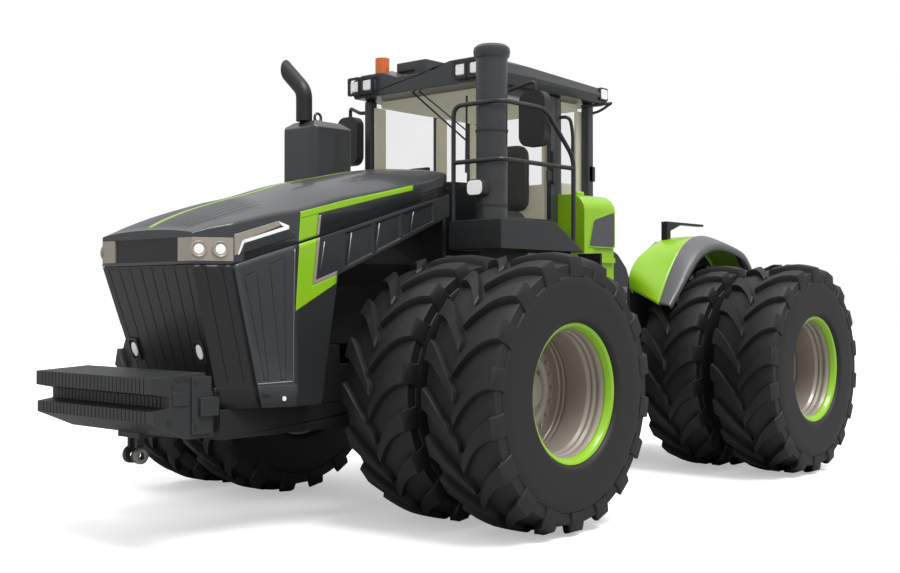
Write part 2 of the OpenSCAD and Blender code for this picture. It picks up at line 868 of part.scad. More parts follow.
// Front frame: two rails bored for the axle, with posts for the engine and the cab.
module axle_bore() {
    translate([0, -big, tyre_r]) rotate([-90, 0, 0])
        cylinder(d = axle_d + seat_gap * 2, h = big * 2, $fn = 128);
}
module front_frame() {
    color(dark_grey) at_front() {
        both_sides() {
            difference() {
                side_plate([[-frame_back, frame_z], [frame_front, frame_z], [frame_front, nose_z],
                    [neck_x, nose_z],
                    [neck_x - neck_l, frame_top], [-frame_back, frame_top]], rail_y, frame_w / 2);
                axle_bore();
            }
            for (x = [mount_front, -mount_back])
                block([x - mount_l / 2, frame_w / 2 - mount_w, frame_top],
                    [x + mount_l / 2, frame_w / 2, engine_z]);
            for (x = [-cab_mount_front, -cab_mount_back])
                block([x - cab_mount_w / 2, frame_w / 2 - cab_mount_w, frame_top],
                    [x + cab_mount_w / 2, frame_w / 2, cab_z]);
        }
        block([frame_front, -frame_w / 2, frame_z], [frame_front + plate_t, frame_w / 2, nose_z]);
        for (x = [-gear_cross_front, -gear_cross_back])
            block([x - cross_w / 2, -rail_y, frame_top - cross_h], [x + cross_w / 2, rail_y, frame_top]);
    }
}

// Front half of the steering hinge: a bulkhead with windows for the cylinders and two bored lugs.
module front_hinge() {
    bulk = pivot_setback - frame_back;
    color(dark_grey) at_pivot() {
        difference() {
            union() {
                block([bulk - plate_t, -frame_w / 2, lug_low], [bulk, frame_w / 2, lug_high + lug_t]);
                for (z = [lug_low, lug_high]) {
                    block([0, -lug_w / 2, z], [bulk - plate_t, lug_w / 2, z + lug_t]);
                    translate([0, 0, z]) cylinder(d = lug_w, h = lug_t, $fn = 96);
                }
            }
            translate([0, 0, lug_low - eps])
                cylinder(d = pin_d + run_gap * 2, h = lug_high - lug_low + lug_t + eps * 2,
                $fn = 96);
            both_sides() block([bulk - plate_t - eps, cyl_y - window_w / 2, cyl_z - window_h / 2],
                [bulk + eps, cyl_y + window_w / 2, cyl_z + window_h / 2]);
        }
        both_sides() {
            block([cyl_pin_ahead - eye_d / 2, cyl_y - eye_d / 2, cyl_z - eye_h / 2 - yoke_gap - ear_t],
                [cyl_pin_ahead + eye_d / 2, rail_y, cyl_z - eye_h / 2 - yoke_gap]);
            translate([cyl_pin_ahead, cyl_y, cyl_z - eye_h / 2 - yoke_gap])
                cylinder(d = cyl_pin_d, h = eye_h + yoke_gap);
        }
    }
}

// Yoke: an upright barrel with the hinge pin, the roll tube behind it and the ears of the cylinders.
module hinge_yoke() {
    low = lug_low + lug_t + yoke_gap;
    high = lug_high - yoke_gap;
    ear_top = cyl_z - eye_h / 2 - yoke_gap;
    color([0.3, 0.3, 0.3]) at_pivot() {
        translate([0, 0, low]) cylinder(d = yoke_d, h = high - low, $fn = 96);
        translate([0, 0, lug_low]) cylinder(d = pin_d, h = lug_high - lug_low + lug_t, $fn = 96);
        rod_x([-roll_l, 0, roll_z], 0, roll_d);
        rod_x([-roll_l - keeper_t, 0, roll_z], -roll_l, bearing_d);
        both_sides() block([-eye_back - eye_d / 2, 0, ear_top - ear_t],
            [-eye_back + eye_d / 2, cyl_y + eye_d / 2, ear_top]);
    }
}

// Steering cylinders: barrels on pins in the front frame, bored for the rods that push the yoke.
module barrel() {
    translate([cyl_pin_ahead, cyl_y, cyl_z]) difference() {
        union() {
            translate([0, 0, -eye_h / 2]) cylinder(d = eye_d, h = eye_h);
            rod_x([-cyl_l, 0, 0], -eye_d, cyl_d);
            rod_x([-eye_d, 0, 0], 0, rod_d);
        }
        translate([0, 0, -cyl_d]) cylinder(d = cyl_pin_d + run_gap * 2, h = cyl_d * 2);
        rod_x([-cyl_l - eps, 0, 0], -eye_d - cyl_d / 2, rod_d + run_gap * 2);
    }
}
module rod() {
    translate([-eye_back, cyl_y, cyl_z]) {
        translate([0, 0, -eye_h / 2]) cylinder(d = eye_d, h = eye_h);
        rod_x([0, 0, 0], cyl_pin_ahead - cyl_l + eye_back + rod_in, rod_d);
    }
}
module steering_barrel_left() {
    color([0.22, 0.22, 0.23]) at_pivot() barrel();
}
module steering_barrel_right() {
    color([0.22, 0.22, 0.23]) at_pivot() mirror([0, 1, 0]) barrel();
}
module steering_rod_left() {
    color([0.75, 0.75, 0.76]) at_pivot() rod();
}
module steering_rod_right() {
    color([0.75, 0.75, 0.76]) at_pivot() mirror([0, 1, 0]) rod();
}

// Engine and transmission blocks on the frame.
module engine() {
    sump_share = 0.6;
    head_share = 0.7;
    color([0.3, 0.31, 0.31]) at_front() {
        block([engine_front - engine_l, -engine_w / 2, engine_z],
            [engine_front, engine_w / 2, engine_z + engine_h * head_share]);
        block([engine_front - engine_l, -engine_w / 2 * sump_share, engine_z + engine_h * head_share],
            [engine_front, engine_w / 2 * sump_share, engine_z + engine_h]);
    }
}
module transmission() {
    color([0.33, 0.33, 0.32]) at_front()
        block([-gear_front - gear_l, -gear_w / 2, gear_z], [-gear_front, gear_w / 2, gear_z + gear_h]);
}

// Hood: a crowned lid from the nose to the cab, open below, with two hinge ears inside its rear end.
function hood_half(s) = s < facet_share
    ? (hood_front_w + (hood_w - hood_front_w) * s / facet_share) / 2
    : (hood_w + (hood_rear_w - hood_w) * (s - facet_share) / (1 - facet_share)) / 2;
function skirt(s) = s < facet_share ? skirt_z : skirt_z + skirt_rise * (s - facet_share) / (1 - facet_share);
function hood_ring(i, t) =
    let (s = hood_x_shares[i], x = nose_x - s * hood_l, w = hood_half(s) - t,
        mid = brow_z + hood_rise * hood_rise_shares[i] - t, crown = hood_crown * hood_crown_shares[i],
        side = mid - crown, low = skirt(s) - t, e = hood_edge,
        left = [[x, w, low], [x, w, side - e], [x, w - e * edge_share, side - e * edge_share],
            each [for (k = [1 : -1 : 0]) [x, w * top_shares[k], side + crown * crown_shares[k]]]])
    concat(left, [[x, 0, mid]], [for (k = [len(left) - 1 : -1 : 0]) [x, -left[k][1], left[k][2]]]);
module hood_solid(t) {
    loft([for (i = [0 : len(hood_x_shares) - 1]) hood_ring(i, t)]);
}
module hood_ears() {
    both_sides() translate([-hood_hinge_back, hood_ear_y, hood_hinge_z]) {
        rotate([-90, 0, 0]) cylinder(d = hood_ear_d, h = hood_ear_t);
        block([0, 0, -hood_ear_d / 2], [hood_ear_d * 2, hood_ear_t, hood_ear_d / 2]);
        block([hood_ear_d, 0, 0], [hood_ear_d * 2, hood_ear_t, hood_ear_d * 3]);
    }
}
function nose_edge(t) = [[nose_x - t, hood_front_w / 2 - t / 2], [nose_x - facet_l, hood_w / 2 - t]];
module nose_prism(t, low, high) {
    edge = nose_edge(t);
    translate([0, 0, low]) linear_extrude(high - low)
        polygon(concat([[0, edge[1][1]]], [edge[1], edge[0]], mirrored([edge[1], edge[0]]),
            [[0, -edge[1][1]]]));
}
module lamp_band(t, gap) {
    low = band_z + gap;
    high = band_z + band_h - gap;
    difference() {
        block([nose_x - facet_l + gap, -hood_w, low], [nose_x + hood_w, hood_w, high]);
        nose_prism(t, low - eps, high + eps);
    }
}
module hood() {
    color(graphite) at_front() difference() {
        union() {
            difference() {
                hood_solid(0);
                translate([-hood_t, 0, 0]) hood_solid(hood_t);
            }
            intersection() {
                hood_ears();
                translate([-hood_t * 2, 0, -hood_t / 2]) hood_solid(0);
            }
        }
        rod_y([-hood_hinge_back, -big, hood_hinge_z], big, hood_pin_d + run_gap * 2);
        lamp_band(recess_t, 0);
    }
}
module headlamps() {
    lamp_shares = [0.16, 0.68];
    facet_turn = atan2(facet_l, (hood_w - hood_front_w) / 2);
    edge = nose_edge(0);
    color(greige) at_front() both_sides() {
        intersection() {
            nose_prism(0, band_z, band_z + band_h);
            lamp_band(recess_t - glass_gap, glass_gap);
            block([0, housing_y, band_z], [nose_x, hood_w, band_z + band_h]);
        }
        for (s = lamp_shares) {
            spot = edge[0] + (edge[1] - edge[0]) * s;
            translate([spot[0], spot[1], band_z + band_h / 2]) rotate([0, 90, facet_turn])
                translate([0, 0, -recess_t / 2]) cylinder(d = headlamp_d, h = recess_t / 2 + headlamp_t);
        }
    }
}

// Grille: the leaning nose shell under the hood; its top follows the hood's lower edge.
function nose_share(z) = (skirt_z - z) / (skirt_z - nose_z);
function nose_front(z) = nose_x - nose_lean * nose_share(z);
function nose_half(z) = (hood_front_w + (nose_low_w - hood_front_w) * nose_share(z)) / 2;
function nose_plan(z, t) =
    let (s = nose_share(z), front = nose_front(z) - t, w = nose_half(z) - t,
        c = (hood_w + (nose_low_corner_w - hood_w) * s) / 2 - t,
        f = facet_l + (nose_low_facet - facet_l) * s)
    [[panel_front, -hood_w / 2 + t, z], [front - f, -c, z], [front, -w, z],
        [front, w, z], [front - f, c, z], [panel_front, hood_w / 2 - t, z]];
function slot_ring(z, y, w, deep, out) =
    let (x = nose_front(z))
    [[x - deep, y - w / 2, z], [x + out, y - w / 2, z], [x + out, y + w / 2, z], [x - deep, y + w / 2, z]];
module nose_grooves() {
    low = nose_z + bumper_h + vent_bar;
    high = skirt_z - vent_bar * 2;
    for (k = [1 : groove_count]) {
        s = k * 2 / (groove_count + 1) - 1;
        loft([slot_ring(low, nose_half(low) * s, groove_w, groove_t, panel_t),
            slot_ring(high, nose_half(high) * s, groove_w, groove_t, panel_t)]);
    }
}
module nose_pocket(w, h, deep, out) {
    for (y = [-nose_lamp_y, nose_lamp_y])
        loft([slot_ring(nose_lamp_z - h / 2, y, w, deep, out),
            slot_ring(nose_lamp_z + h / 2, y, w, deep, out)]);
}
module nose_solid(t, z0, z1) {
    loft([nose_plan(z0, t), nose_plan(z1, t)]);
}
module under_hood() {
    slope = skirt_rise / (hood_l - facet_l);
    side_plate([[big, -big], [big, skirt_z - hood_gap], [nose_x - facet_l, skirt_z - hood_gap],
        [-big, skirt_z - hood_gap + (nose_x - facet_l + big) * slope], [-big, -big]], -big, big);
}
module grille() {
    high = skirt_z + hood_edge * 4;
    color(dark_grey) at_front() intersection() {
        difference() {
            union() {
                nose_solid(0, nose_z, high);
                nose_solid(-bumper_t, nose_z, nose_z + bumper_h);
            }
            translate([-eps, 0, 0]) nose_solid(panel_t, nose_z - eps, high + eps);
            nose_grooves();
            nose_pocket(pocket_w, pocket_h, pocket_t, panel_t);
        }
        under_hood();
    }
}
module nose_lamps() {
    lens_share = 0.6;
    color([0.9, 0.91, 0.9]) at_front()
        nose_pocket(pocket_w * lens_share, pocket_h * lens_share, pocket_t - glass_gap, bumper_t);
}
module side_panels() {
    slope = skirt_rise / (hood_l - facet_l);
    front = panel_front - panel_joint;
    low_slope = (panel_back_z - panel_mid_z) / (panel_mid_x + hood_back);
    vent_shares = [[0.06, 0.28], [0.31, 0.53], [0.56, 0.84]];
    function top(x) = skirt_z - hood_gap + (nose_x - facet_l - x) * slope;
    function low(x) = panel_mid_z + (panel_mid_x - x) * low_slope;
    color(dark_grey) at_front() both_sides() difference() {
        side_plate([[front, nose_z], [front, top(front)], [-hood_back, top(-hood_back)],
            [-hood_back, panel_back_z],
            [panel_mid_x, panel_mid_z], [panel_low_x, nose_z]], hood_w / 2 - panel_t, hood_w / 2);
        for (s = vent_shares) {
            x0 = panel_mid_x - (panel_mid_x + hood_back) * s[0];
            x1 = panel_mid_x - (panel_mid_x + hood_back) * s[1];
            side_plate([[x0, low(x0) + vent_bar], [x0, top(x0) - vent_bar], [x1, top(x1) - vent_bar],
                [x1, low(x1) + vent_bar]], hood_w / 2 - vent_t, hood_w / 2 + eps);
        }
    }
}

// Front weights: slabs with a hook shaped side, side by side on a carrier bolted to the frame.
module front_weights() {
    deep = front_reach - weight_back;
    step = weight_w / weight_count;
    core_share = 0.95;
    side_shares = [[1, 0.95], [0.14, 1], [0, 0.685], [0, 0.01], [0.39, 0], [0.98, 0.278], [0.98, 0.455],
        [0.73, 0.494], [0.73, 0.657], [1, 0.72]];
    outline = [for (p = side_shares) [weight_back + deep * p[0], weight_z + weight_h * p[1]]];
    middle = [weight_back + deep * core_share / 2, weight_z + weight_h / 2];
    color(dark_grey) at_front() {
        side_plate([for (p = outline) middle + (p - middle) * core_share], step - weight_w / 2,
            weight_w / 2 - step);
        for (k = [1 : weight_count - 2])
            side_plate(outline, k * step - weight_w / 2, (k + 1) * step - weight_groove - weight_w / 2);
        both_sides() side_plate(outline, weight_w / 2 - step - weight_groove, weight_w / 2);
    }
}
module weight_carrier() {
    wide_share = 0.86;
    half = frame_w / 2 * wide_share;
    color(dark_grey) at_front() {
        block([frame_front + plate_t, -half, carrier_z], [weight_back, half, carrier_z + carrier_h]);
        block([frame_front + plate_t, -tongue_w / 2, weight_z - tongue_t],
            [weight_back + tongue_l, tongue_w / 2, weight_z]);
    }
}
module tow_clevis() {
    high = weight_z - tongue_t;
    low = high - clevis_drop;
    x = weight_back + tongue_l - clevis_d / 2;
    color(dark_grey) at_front() both_sides() difference() {
        union() {
            block([x - stem_w / 2, clevis_gap / 2, low], [x + stem_w / 2, clevis_gap / 2 + clevis_t, high]);
            rod_y([x, clevis_gap / 2, low], clevis_gap / 2 + clevis_t, clevis_d);
        }
        rod_y([x, 0, low], clevis_gap + clevis_t, clevis_bore);
    }
}

// Cowl: the black wall between hood and cab, with the pins of the hood's hinge.
module cowl() {
    wide = hood_rear_w / 2 - hood_t * 4;
    back = hood_hinge_back + hood_ear_d;
    color([0.15, 0.15, 0.15]) at_front() {
        block([-back - tub_t, -wide, gear_z + gear_h], [-back, wide, hood_hinge_z + hood_ear_d]);
        both_sides() {
            block([-back, hood_ear_y - hood_ear_t * 2, hood_hinge_z - hood_ear_d / 2],
                [-hood_hinge_back + hood_pin_d, hood_ear_y - hood_ear_t, hood_hinge_z + hood_ear_d / 2]);
            rod_y([-hood_hinge_back, hood_ear_y - hood_ear_t, hood_hinge_z], hood_ear_y + hood_ear_t,
                hood_pin_d);
        }
    }
}

// Cab: a floor tub with sills, six posts, lower panels, glass and a roof.
module cab_floor() {
    half = tub_w / 2;
    color([0.3, 0.3, 0.29]) at_front() {
        difference() {
            block([-cab_back, -half, cab_z], [-cab_front, half, sill_z]);
            block([-cab_back + tub_t, -half + tub_t, cab_z + tub_t],
                [-cab_front - tub_t, half - tub_t, sill_z + eps]);
        }
        both_sides() block([-cab_back, half, sill_z - sill_h], [-cab_front, cab_y, sill_z]);
    }
}
module cab_posts() {
    color(graphite) at_front() both_sides()
        for (x = [cab_front + post_t, post_mid + post_t, cab_back])
            block([-x, cab_y - post_t, sill_z], [-x + post_t, cab_y, roof_z]);
}
module cab_panels() {
    half = cab_y - post_t;
    color([0.3, 0.3, 0.29]) at_front() {
        block([-cab_front - cab_panel_t, -half, sill_z], [-cab_front, half, screen_z]);
        block([-cab_back, -half, sill_z], [-cab_back + cab_panel_t, half, rear_sill_z]);
    }
}
module cab_glass() {
    half = cab_y - post_t - glass_gap;
    set = (cab_panel_t - glass_t) / 2;
    color([0.6, 0.72, 0.72, 0.4]) at_front() {
        block([-cab_front - set - glass_t, -half, screen_z + glass_gap],
            [-cab_front - set, half, roof_z - glass_gap]);
        block([-cab_back + set, -half, rear_sill_z + glass_gap],
            [-cab_back + set + glass_t, half, roof_z - glass_gap]);
        both_sides() block([-cab_back + post_t + glass_gap, cab_y - set - glass_t, sill_z + glass_gap],
            [-post_mid - post_t - glass_gap, cab_y - set, roof_z - glass_gap]);
        block([-post_mid + glass_gap, -cab_y + set, sill_z + glass_gap],
            [-cab_front - post_t - glass_gap, -cab_y + set + glass_t, roof_z - glass_gap]);
    }
}
function roof_high(s) = roof_h + (roof_rear_h - roof_h) * s;
function roof_ring(s, w, drop) =
    let (x = -roof_front - roof_l * s, half = w / 2, h = roof_high(s) - drop, top = roof_z + h,
        width_shares = [0.94, 1, 0.97, 0.83, 0.5, 0.27], height_shares = [0, 0.38, 0.8, 1, 1, 1],
        dip = roof_dip * h / roof_h,
        left = [for (k = [0 : len(width_shares) - 1])
            [x, half * width_shares[k], roof_z + h * height_shares[k] - (k == len(width_shares) - 1 ? dip : 0)]])
    concat(left, [for (k = [len(left) - 1 : -1 : 0]) [x, -left[k][1], left[k][2]]]);
module cab_roof() {
    length_shares = [1, 0.94, 0.3, 0.07, 0];
    drop_shares = [0.25, 0, 0, 0, 0.16];
    widths = [roof_front_w, roof_w, roof_w, roof_front_w, roof_front_w];
    color(graphite) at_front()
        loft([for (k = [0 : len(widths) - 1])
            roof_ring(length_shares[k], widths[k], roof_h * drop_shares[k])]);
}
module roof_lamps() {
    mid_share = 0.44;
    mid = roof_z + roof_h * mid_share;
    color([0.85, 0.86, 0.85]) at_front() both_sides() for (k = [0, 1])
        block([-roof_front, roof_lamp_y - k * roof_lamp_step - roof_lamp_w / 2, mid - roof_lamp_h / 2],
            [-roof_front + roof_lamp_t, roof_lamp_y - k * roof_lamp_step + roof_lamp_w / 2,
                mid + roof_lamp_h / 2]);
}
module roof_receiver() {
    back_share = 0.2;
    foot_share = 0.2;
    high = roof_high(back_share - receiver_l / roof_l / 2);
    deep = roof_dip * high / roof_h;
    color(graphite) at_front() translate([-roof_front - roof_l * back_share, -receiver_y, roof_z + high]) {
        block([-receiver_l / 2, -receiver_w / 2, 0], [receiver_l / 2, receiver_w / 2, receiver_h]);
        block([-receiver_l / 2, receiver_w / 2 * foot_share, -deep], [receiver_l / 2, receiver_w / 2, 0]);
    }
}
module beacon() {
    back_share = 0.1;
    side_share = 0.66;
    top = roof_z + roof_high(back_share - beacon_d / roof_l / 2);
    color([0.95, 0.42, 0.08]) at_front()
        translate([-roof_front - roof_l * back_share, -roof_w / 2 * side_share, top])
            cylinder(d = beacon_d, h = beacon_h);
}

// Seat, steering column and wheel inside the cab.
module seat() {
    floor_z = cab_z + tub_t;
    base_share = 0.6;
    color([0.62, 0.56, 0.44]) at_front() {
        block([-seat_front - seat_l, -seat_w / 2 * base_share, floor_z],
            [-seat_front - seat_l * (1 - base_share), seat_w / 2 * base_share,
                floor_z + seat_h - cushion_t]);
        block([-seat_front - seat_l, -seat_w / 2, floor_z + seat_h - cushion_t],
            [-seat_front, seat_w / 2, floor_z + seat_h]);
        block([-seat_front - seat_l, -seat_w / 2, floor_z + seat_h],
            [-seat_front - seat_l + cushion_t, seat_w / 2, floor_z + seat_h + seat_back_h]);
    }
}
module steering_column() {
    floor_z = cab_z + tub_t;
    color([0.2, 0.2, 0.2]) at_front()
        block([-column_back - column_w / 2, -column_w / 2, floor_z],
            [-column_back + column_w / 2, column_w / 2, floor_z + column_h]);
}
module steering_wheel() {
    hub_share = 0.3;
    floor_z = cab_z + tub_t + column_h;
    color([0.12, 0.12, 0.12]) at_front() translate([-column_back, 0, floor_z]) {
        cylinder(d = wheel_d * hub_share, h = wheel_t);
        difference() {
            cylinder(d = wheel_d, h = wheel_t);
            translate([0, 0, -eps]) cylinder(d = wheel_d - wheel_t * 2, h = wheel_t + eps * 2);
        }
        for (a = [0, 120, 240]) rotate([0, 0, a])
            block([0, -wheel_t / 2, 0], [wheel_d / 2 - wheel_t / 2, wheel_t / 2, wheel_t / 2]);
    }
}

// Door: a framed glass door on the left, hinged at its front edge on two pins.
module door_hinge_at(z) {
    translate([-door_hinge_back, cab_y + door_hinge_out, z]) children();
}
module door_hinges() {
    color(graphite) at_front() for (z = [door_hinge_low, door_hinge_high]) {
        block([-cab_front - post_t, cab_y, z - hinge_foot - yoke_gap],
            [-cab_front, cab_y + door_hinge_out + knuckle_d / 2, z - yoke_gap]);
        door_hinge_at(z - yoke_gap) cylinder(d = door_pin_d, h = knuckle_h + yoke_gap);
    }
}
module cab_door() {
    front = -cab_front - post_t - door_gap;
    back = -post_mid + door_gap;
    low = sill_z + door_gap;
    high = roof_z - door_gap;
    color(graphite) at_front() {
        difference() {
            union() {
                block([back, cab_y - door_t, low], [front, cab_y, high]);
                for (z = [door_hinge_low, door_hinge_high]) {
                    block([front - door_bar, cab_y, z],
                        [-door_hinge_back, cab_y + door_hinge_out, z + knuckle_h]);
                    door_hinge_at(z) cylinder(d = knuckle_d, h = knuckle_h);
                }
            }
            block([back + door_bar, -big, low + door_bar], [front - door_bar, big, high - door_bar]);
            for (z = [door_hinge_low, door_hinge_high]) door_hinge_at(z - eps)
                cylinder(d = door_pin_d + run_gap * 2, h = knuckle_h + eps * 2);
        }
    }
}
module door_glass() {
    front = -cab_front - post_t - door_gap - door_bar - glass_gap;
    back = -post_mid + door_gap + door_bar + glass_gap;
    set = (door_t - glass_t) / 2;
    color([0.6, 0.72, 0.72, 0.4]) at_front()
        block([back, cab_y - set - glass_t, sill_z + door_gap + door_bar + glass_gap],
            [front, cab_y - set, roof_z - door_gap - door_bar - glass_gap]);
}

// Decks beside the cab, the ladder behind the left front wheels and the rails.
function deck_side(t, front) =
    let (low = sill_z - deck_h - (t > 0 ? eps : 0), back = deck_front + deck_l)
    [[-front - t, sill_z - t], [-front - t, low], [-back - deck_slope + t * 2, low],
        [-back + t, sill_z - t]];
module deck(front) {
    difference() {
        side_plate(deck_side(0, front), cab_y, cab_y + deck_w);
        side_plate(deck_side(deck_t, front), cab_y + deck_t, cab_y + deck_w - deck_t);
    }
}
module decks() {
    color(graphite) at_front() {
        deck(deck_front);
        mirror([0, 1, 0]) deck(box_back - box_l / 2 - deck_t);
    }
}
module ladder() {
    out = cab_y + deck_w;
    top = sill_z - deck_h;
    rise = (top - step_z) / step_count;
    color(graphite) at_front() {
        for (x = [-ladder_back, -ladder_back - step_l - ladder_t])
            block([x, out - step_w, step_z], [x + ladder_t, out, top]);
        for (k = [0 : step_count - 1])
            block([-ladder_back - step_l, out - step_w, step_z + k * rise],
                [-ladder_back, out, step_z + k * rise + step_t]);
    }
}
module hand_rails() {
    front = -deck_front - rail_inset;
    out = cab_y + deck_w - rail_inset;
    in = cab_y + rail_inset;
    top = sill_z + hand_rail_h;
    mid = sill_z + mid_rail_h;
    slope_share = 0.85;
    foot = sill_z - deck_h * (rail_back - rail_d / 2 - deck_front - deck_l) / deck_slope;
    color([0.22, 0.22, 0.22]) at_front() {
        sweep(rounded([[front, in, sill_z], [front, in, top], [front, out, top],
            [-deck_front - deck_l * slope_share, out, top], [-rail_back, out, sill_z + rail_low_h],
            [-rail_back, out, foot]], rail_turn), rail_d, [1, 0, 0]);
        sweep(rounded([[front, in, mid], [front, out, mid], [-rail_back, out, mid]], rail_turn), rail_d,
            [0, 0, 1]);
    }
}

// Intake stack on the left deck, exhaust box and pipe on the right deck, a mirror on each side.
module intake_stack() {
    r = stack_d / 2;
    cap = stack_cap_d / 2;
    cap_shares = [[0.35, 1], [0.8, 0.93], [0.97, 0.74], [1, 0.5], [0.96, 0.2]];
    low = stack_z - stack_cap_h;
    color(graphite) at_front() translate([-stack_back, stack_y, 0]) rotate_extrude($fn = 96)
        polygon(concat([[0, sill_z], [r, sill_z], [r, low]],
            [for (k = [len(cap_shares) - 1 : -1 : 0])
                [cap * cap_shares[k][0], low + stack_cap_h * cap_shares[k][1]]],
            [[0, stack_z]]));
}
module box_solid(t) {
    long = box_l / 2 - t;
    wide = box_w / 2 - t;
    top = box_z - t;
    c = box_corner;
    intersection() {
        side_plate([[-long, 0], [-long, top - box_slope_h], [box_slope_w - long, top],
            [long - box_slope_w, top],
            [long, top - box_slope_h], [long, 0]], -wide, wide);
        translate([-long, 0, 0]) rotate([90, 0, 90]) linear_extrude(long * 2)
            polygon([[-wide, 0], [-wide, top - box_slope_h], [box_slope_w - wide, top],
                [wide - box_slope_w, top],
                [wide, top - box_slope_h], [wide, 0]]);
        linear_extrude(top) polygon([[long, c - wide], [long, wide - c], [long - c, wide], [c - long, wide],
            [-long, wide - c], [-long, c - wide], [c - long, -wide], [long - c, -wide]]);
    }
}
module exhaust_box() {
    eye = box_corner * 2;
    color(graphite) at_front() translate([-box_back, -box_y, 0]) {
        difference() {
            intersection() {
                box_solid(0);
                translate([0, 0, sill_z]) cylinder(r = box_l, h = box_z);
            }
            intersection() {
                box_solid(box_t);
                translate([0, 0, sill_z - eps]) cylinder(r = box_l, h = box_z);
            }
        }
        difference() {
            union() {
                block([-eye / 2, -box_t / 2, box_z], [eye / 2, box_t / 2, box_z + eye / 2]);
                rod_y([0, -box_t / 2, box_z + eye / 2], box_t / 2, eye);
            }
            rod_y([0, -box_t, box_z + eye / 2], box_t, eye / 2);
        }
    }
}
module exhaust_pipe() {
    run = pipe_end_l * sin(pipe_angle);
    rise = pipe_end_l * cos(pipe_angle);
    color(dark_grey) at_front() translate([pipe_ahead - box_back, -box_y, box_z]) difference() {
        sweep(rounded([[0, 0, 0], [0, 0, pipe_l], [0, -run, pipe_l + rise]], pipe_bend), pipe_d,
            [1, 0, 0], 24);
        block([-pipe_d, -pipe_reach - big, 0], [pipe_d, -pipe_reach, big]);
    }
}
module mirrors() {
    back = cab_front + post_t + mirror_back;
    top = mirror_z + mirror_h / 2;
    color(graphite) at_front() both_sides() {
        translate([-back, mirror_y, mirror_z]) rotate([90, 0, 90])
            rounded_plate(mirror_w, mirror_h, mirror_deep, mirror_r);
        sweep(rounded([[-cab_front - post_t / 2, cab_y, top],
            [-cab_front - post_t / 2, cab_y + mirror_r, top],
            [-back + mirror_deep / 2, mirror_y, top + mirror_r],
                [-back + mirror_deep / 2, mirror_y, top - eps]],
            mirror_r / 2), arm_d, [0, 0, 1]);
    }
}

// Fuel tanks behind the decks, each with a sloped upper edge.
module fuel_tanks() {
    foot_share = 0.4;
    inset_shares = [[0.3, 0.32], [1.02, 0.32], [1.02, 0.86], [0.42, 0.74], [0.3, 0.6]];
    foot = tank_cut * foot_share;
    color(lime) at_front() both_sides() difference() {
        translate([-tank_front - tank_l, 0, 0]) rotate([90, 0, 90]) linear_extrude(tank_l)
            polygon(concat([[cab_y, tank_z], [tank_y - foot, tank_z], [tank_y, tank_z + foot]],
                [for (a = [0 : 22.5 : 90])
                    [tank_y - tank_cut * (1 - cos(a)), tank_top - tank_cut * (1 - sin(a))]],
                [[cab_y, tank_top]]));
        side_plate([for (p = inset_shares)
            [-tank_front - tank_l * p[0], tank_z + (tank_top - tank_z) * p[1]]],
            tank_y - tank_inset, tank_y + eps);
    }
}

// Rear frame: two rails bored for the axle, a front plate with the roll bearing and an end plate.
module rear_frame() {
    tube_end = pivot_x - bearing_back - rear_x;
    color(dark_grey) at_rear() {
        both_sides() difference() {
            block([-rear_back, rail_y, frame_z], [rear_front, frame_w / 2, frame_top]);
            axle_bore();
        }
        difference() {
            union() {
                block([rear_front, -frame_w / 2, frame_z], [rear_front + plate_t, frame_w / 2, frame_top]);
                rod_x([rear_front + plate_t, 0, roll_z], tube_end, bearing_d);
            }
            rod_x([rear_front - eps, 0, roll_z], tube_end + eps, roll_d + run_gap * 2);
        }
        block([-rear_back - plate_t, -frame_w / 2, frame_z], [-rear_back, frame_w / 2, frame_top]);
        block([-rear_back + plate_t, -rail_y, frame_z],
            [-rear_back + plate_t + cross_w * 2, rail_y, frame_z + cross_h]);
    }
}

// Rear body on the frame, and over each inner tyre a lime fender with a grey outer band.
module body_solid(t, low) {
    slope = fender_r - body_front;
    side_plate([[t - body_back, low], [t - body_back, body_top - t], [body_front - slope - t, body_top - t],
        [body_front - t, body_top - slope / 2 - t], [body_front - t, low]], t - body_w / 2, body_w / 2 - t);
}
function fender_edge(shares) = [for (p = shares) fender_r * p];
function fender_strip(shares, t) =
    let (edge = fender_edge(shares), last = len(edge) - 1)
    concat([for (p = edge) [p[0], tyre_r + p[1]]],
        [for (i = [last : -1 : 0]) let (q = edge[i] * (1 - t / norm(edge[i]))) [q[0], tyre_r + q[1]]]);
module rear_body() {
    edge = fender_edge(fender_shares);
    wall = concat([for (p = edge) [p[0], tyre_r + p[1]]],
        [[edge[len(edge) - 1][0], frame_top], [edge[0][0], frame_top]]);
    color(dark_grey) at_rear() {
        difference() {
            body_solid(0, frame_top);
            body_solid(body_t, frame_top - eps);
        }
        both_sides() side_plate(wall, body_w / 2 - body_t, body_w / 2);
    }
}
module rear_fenders() {
    color(lime) at_rear() both_sides()
        side_plate(fender_strip(fender_shares, fender_t), body_w / 2, fender_y - fender_band);
}
module fender_bands() {
    color([0.45, 0.46, 0.48]) at_rear() both_sides()
        side_plate(fender_strip(band_shares, fender_lip), fender_y - fender_band, fender_y);
}
module lamp_brackets() {
    base = tyre_r + fender_r;
    top = base + lamp_bracket_h;
    t = lamp_bracket_t;
    y = body_w / 2;
    color(dark_grey) at_rear() both_sides()
        side_plate([[lamp_bracket_x - t * 3, base], [lamp_bracket_x, base], [lamp_bracket_x, top + t],
            [lamp_bracket_x - lamp_bracket_l, top + t], [lamp_bracket_x - lamp_bracket_l, top],
            [lamp_bracket_x - t * 12, top], [lamp_bracket_x - t * 3, top - t * 3]], y, y + t * 3);
}

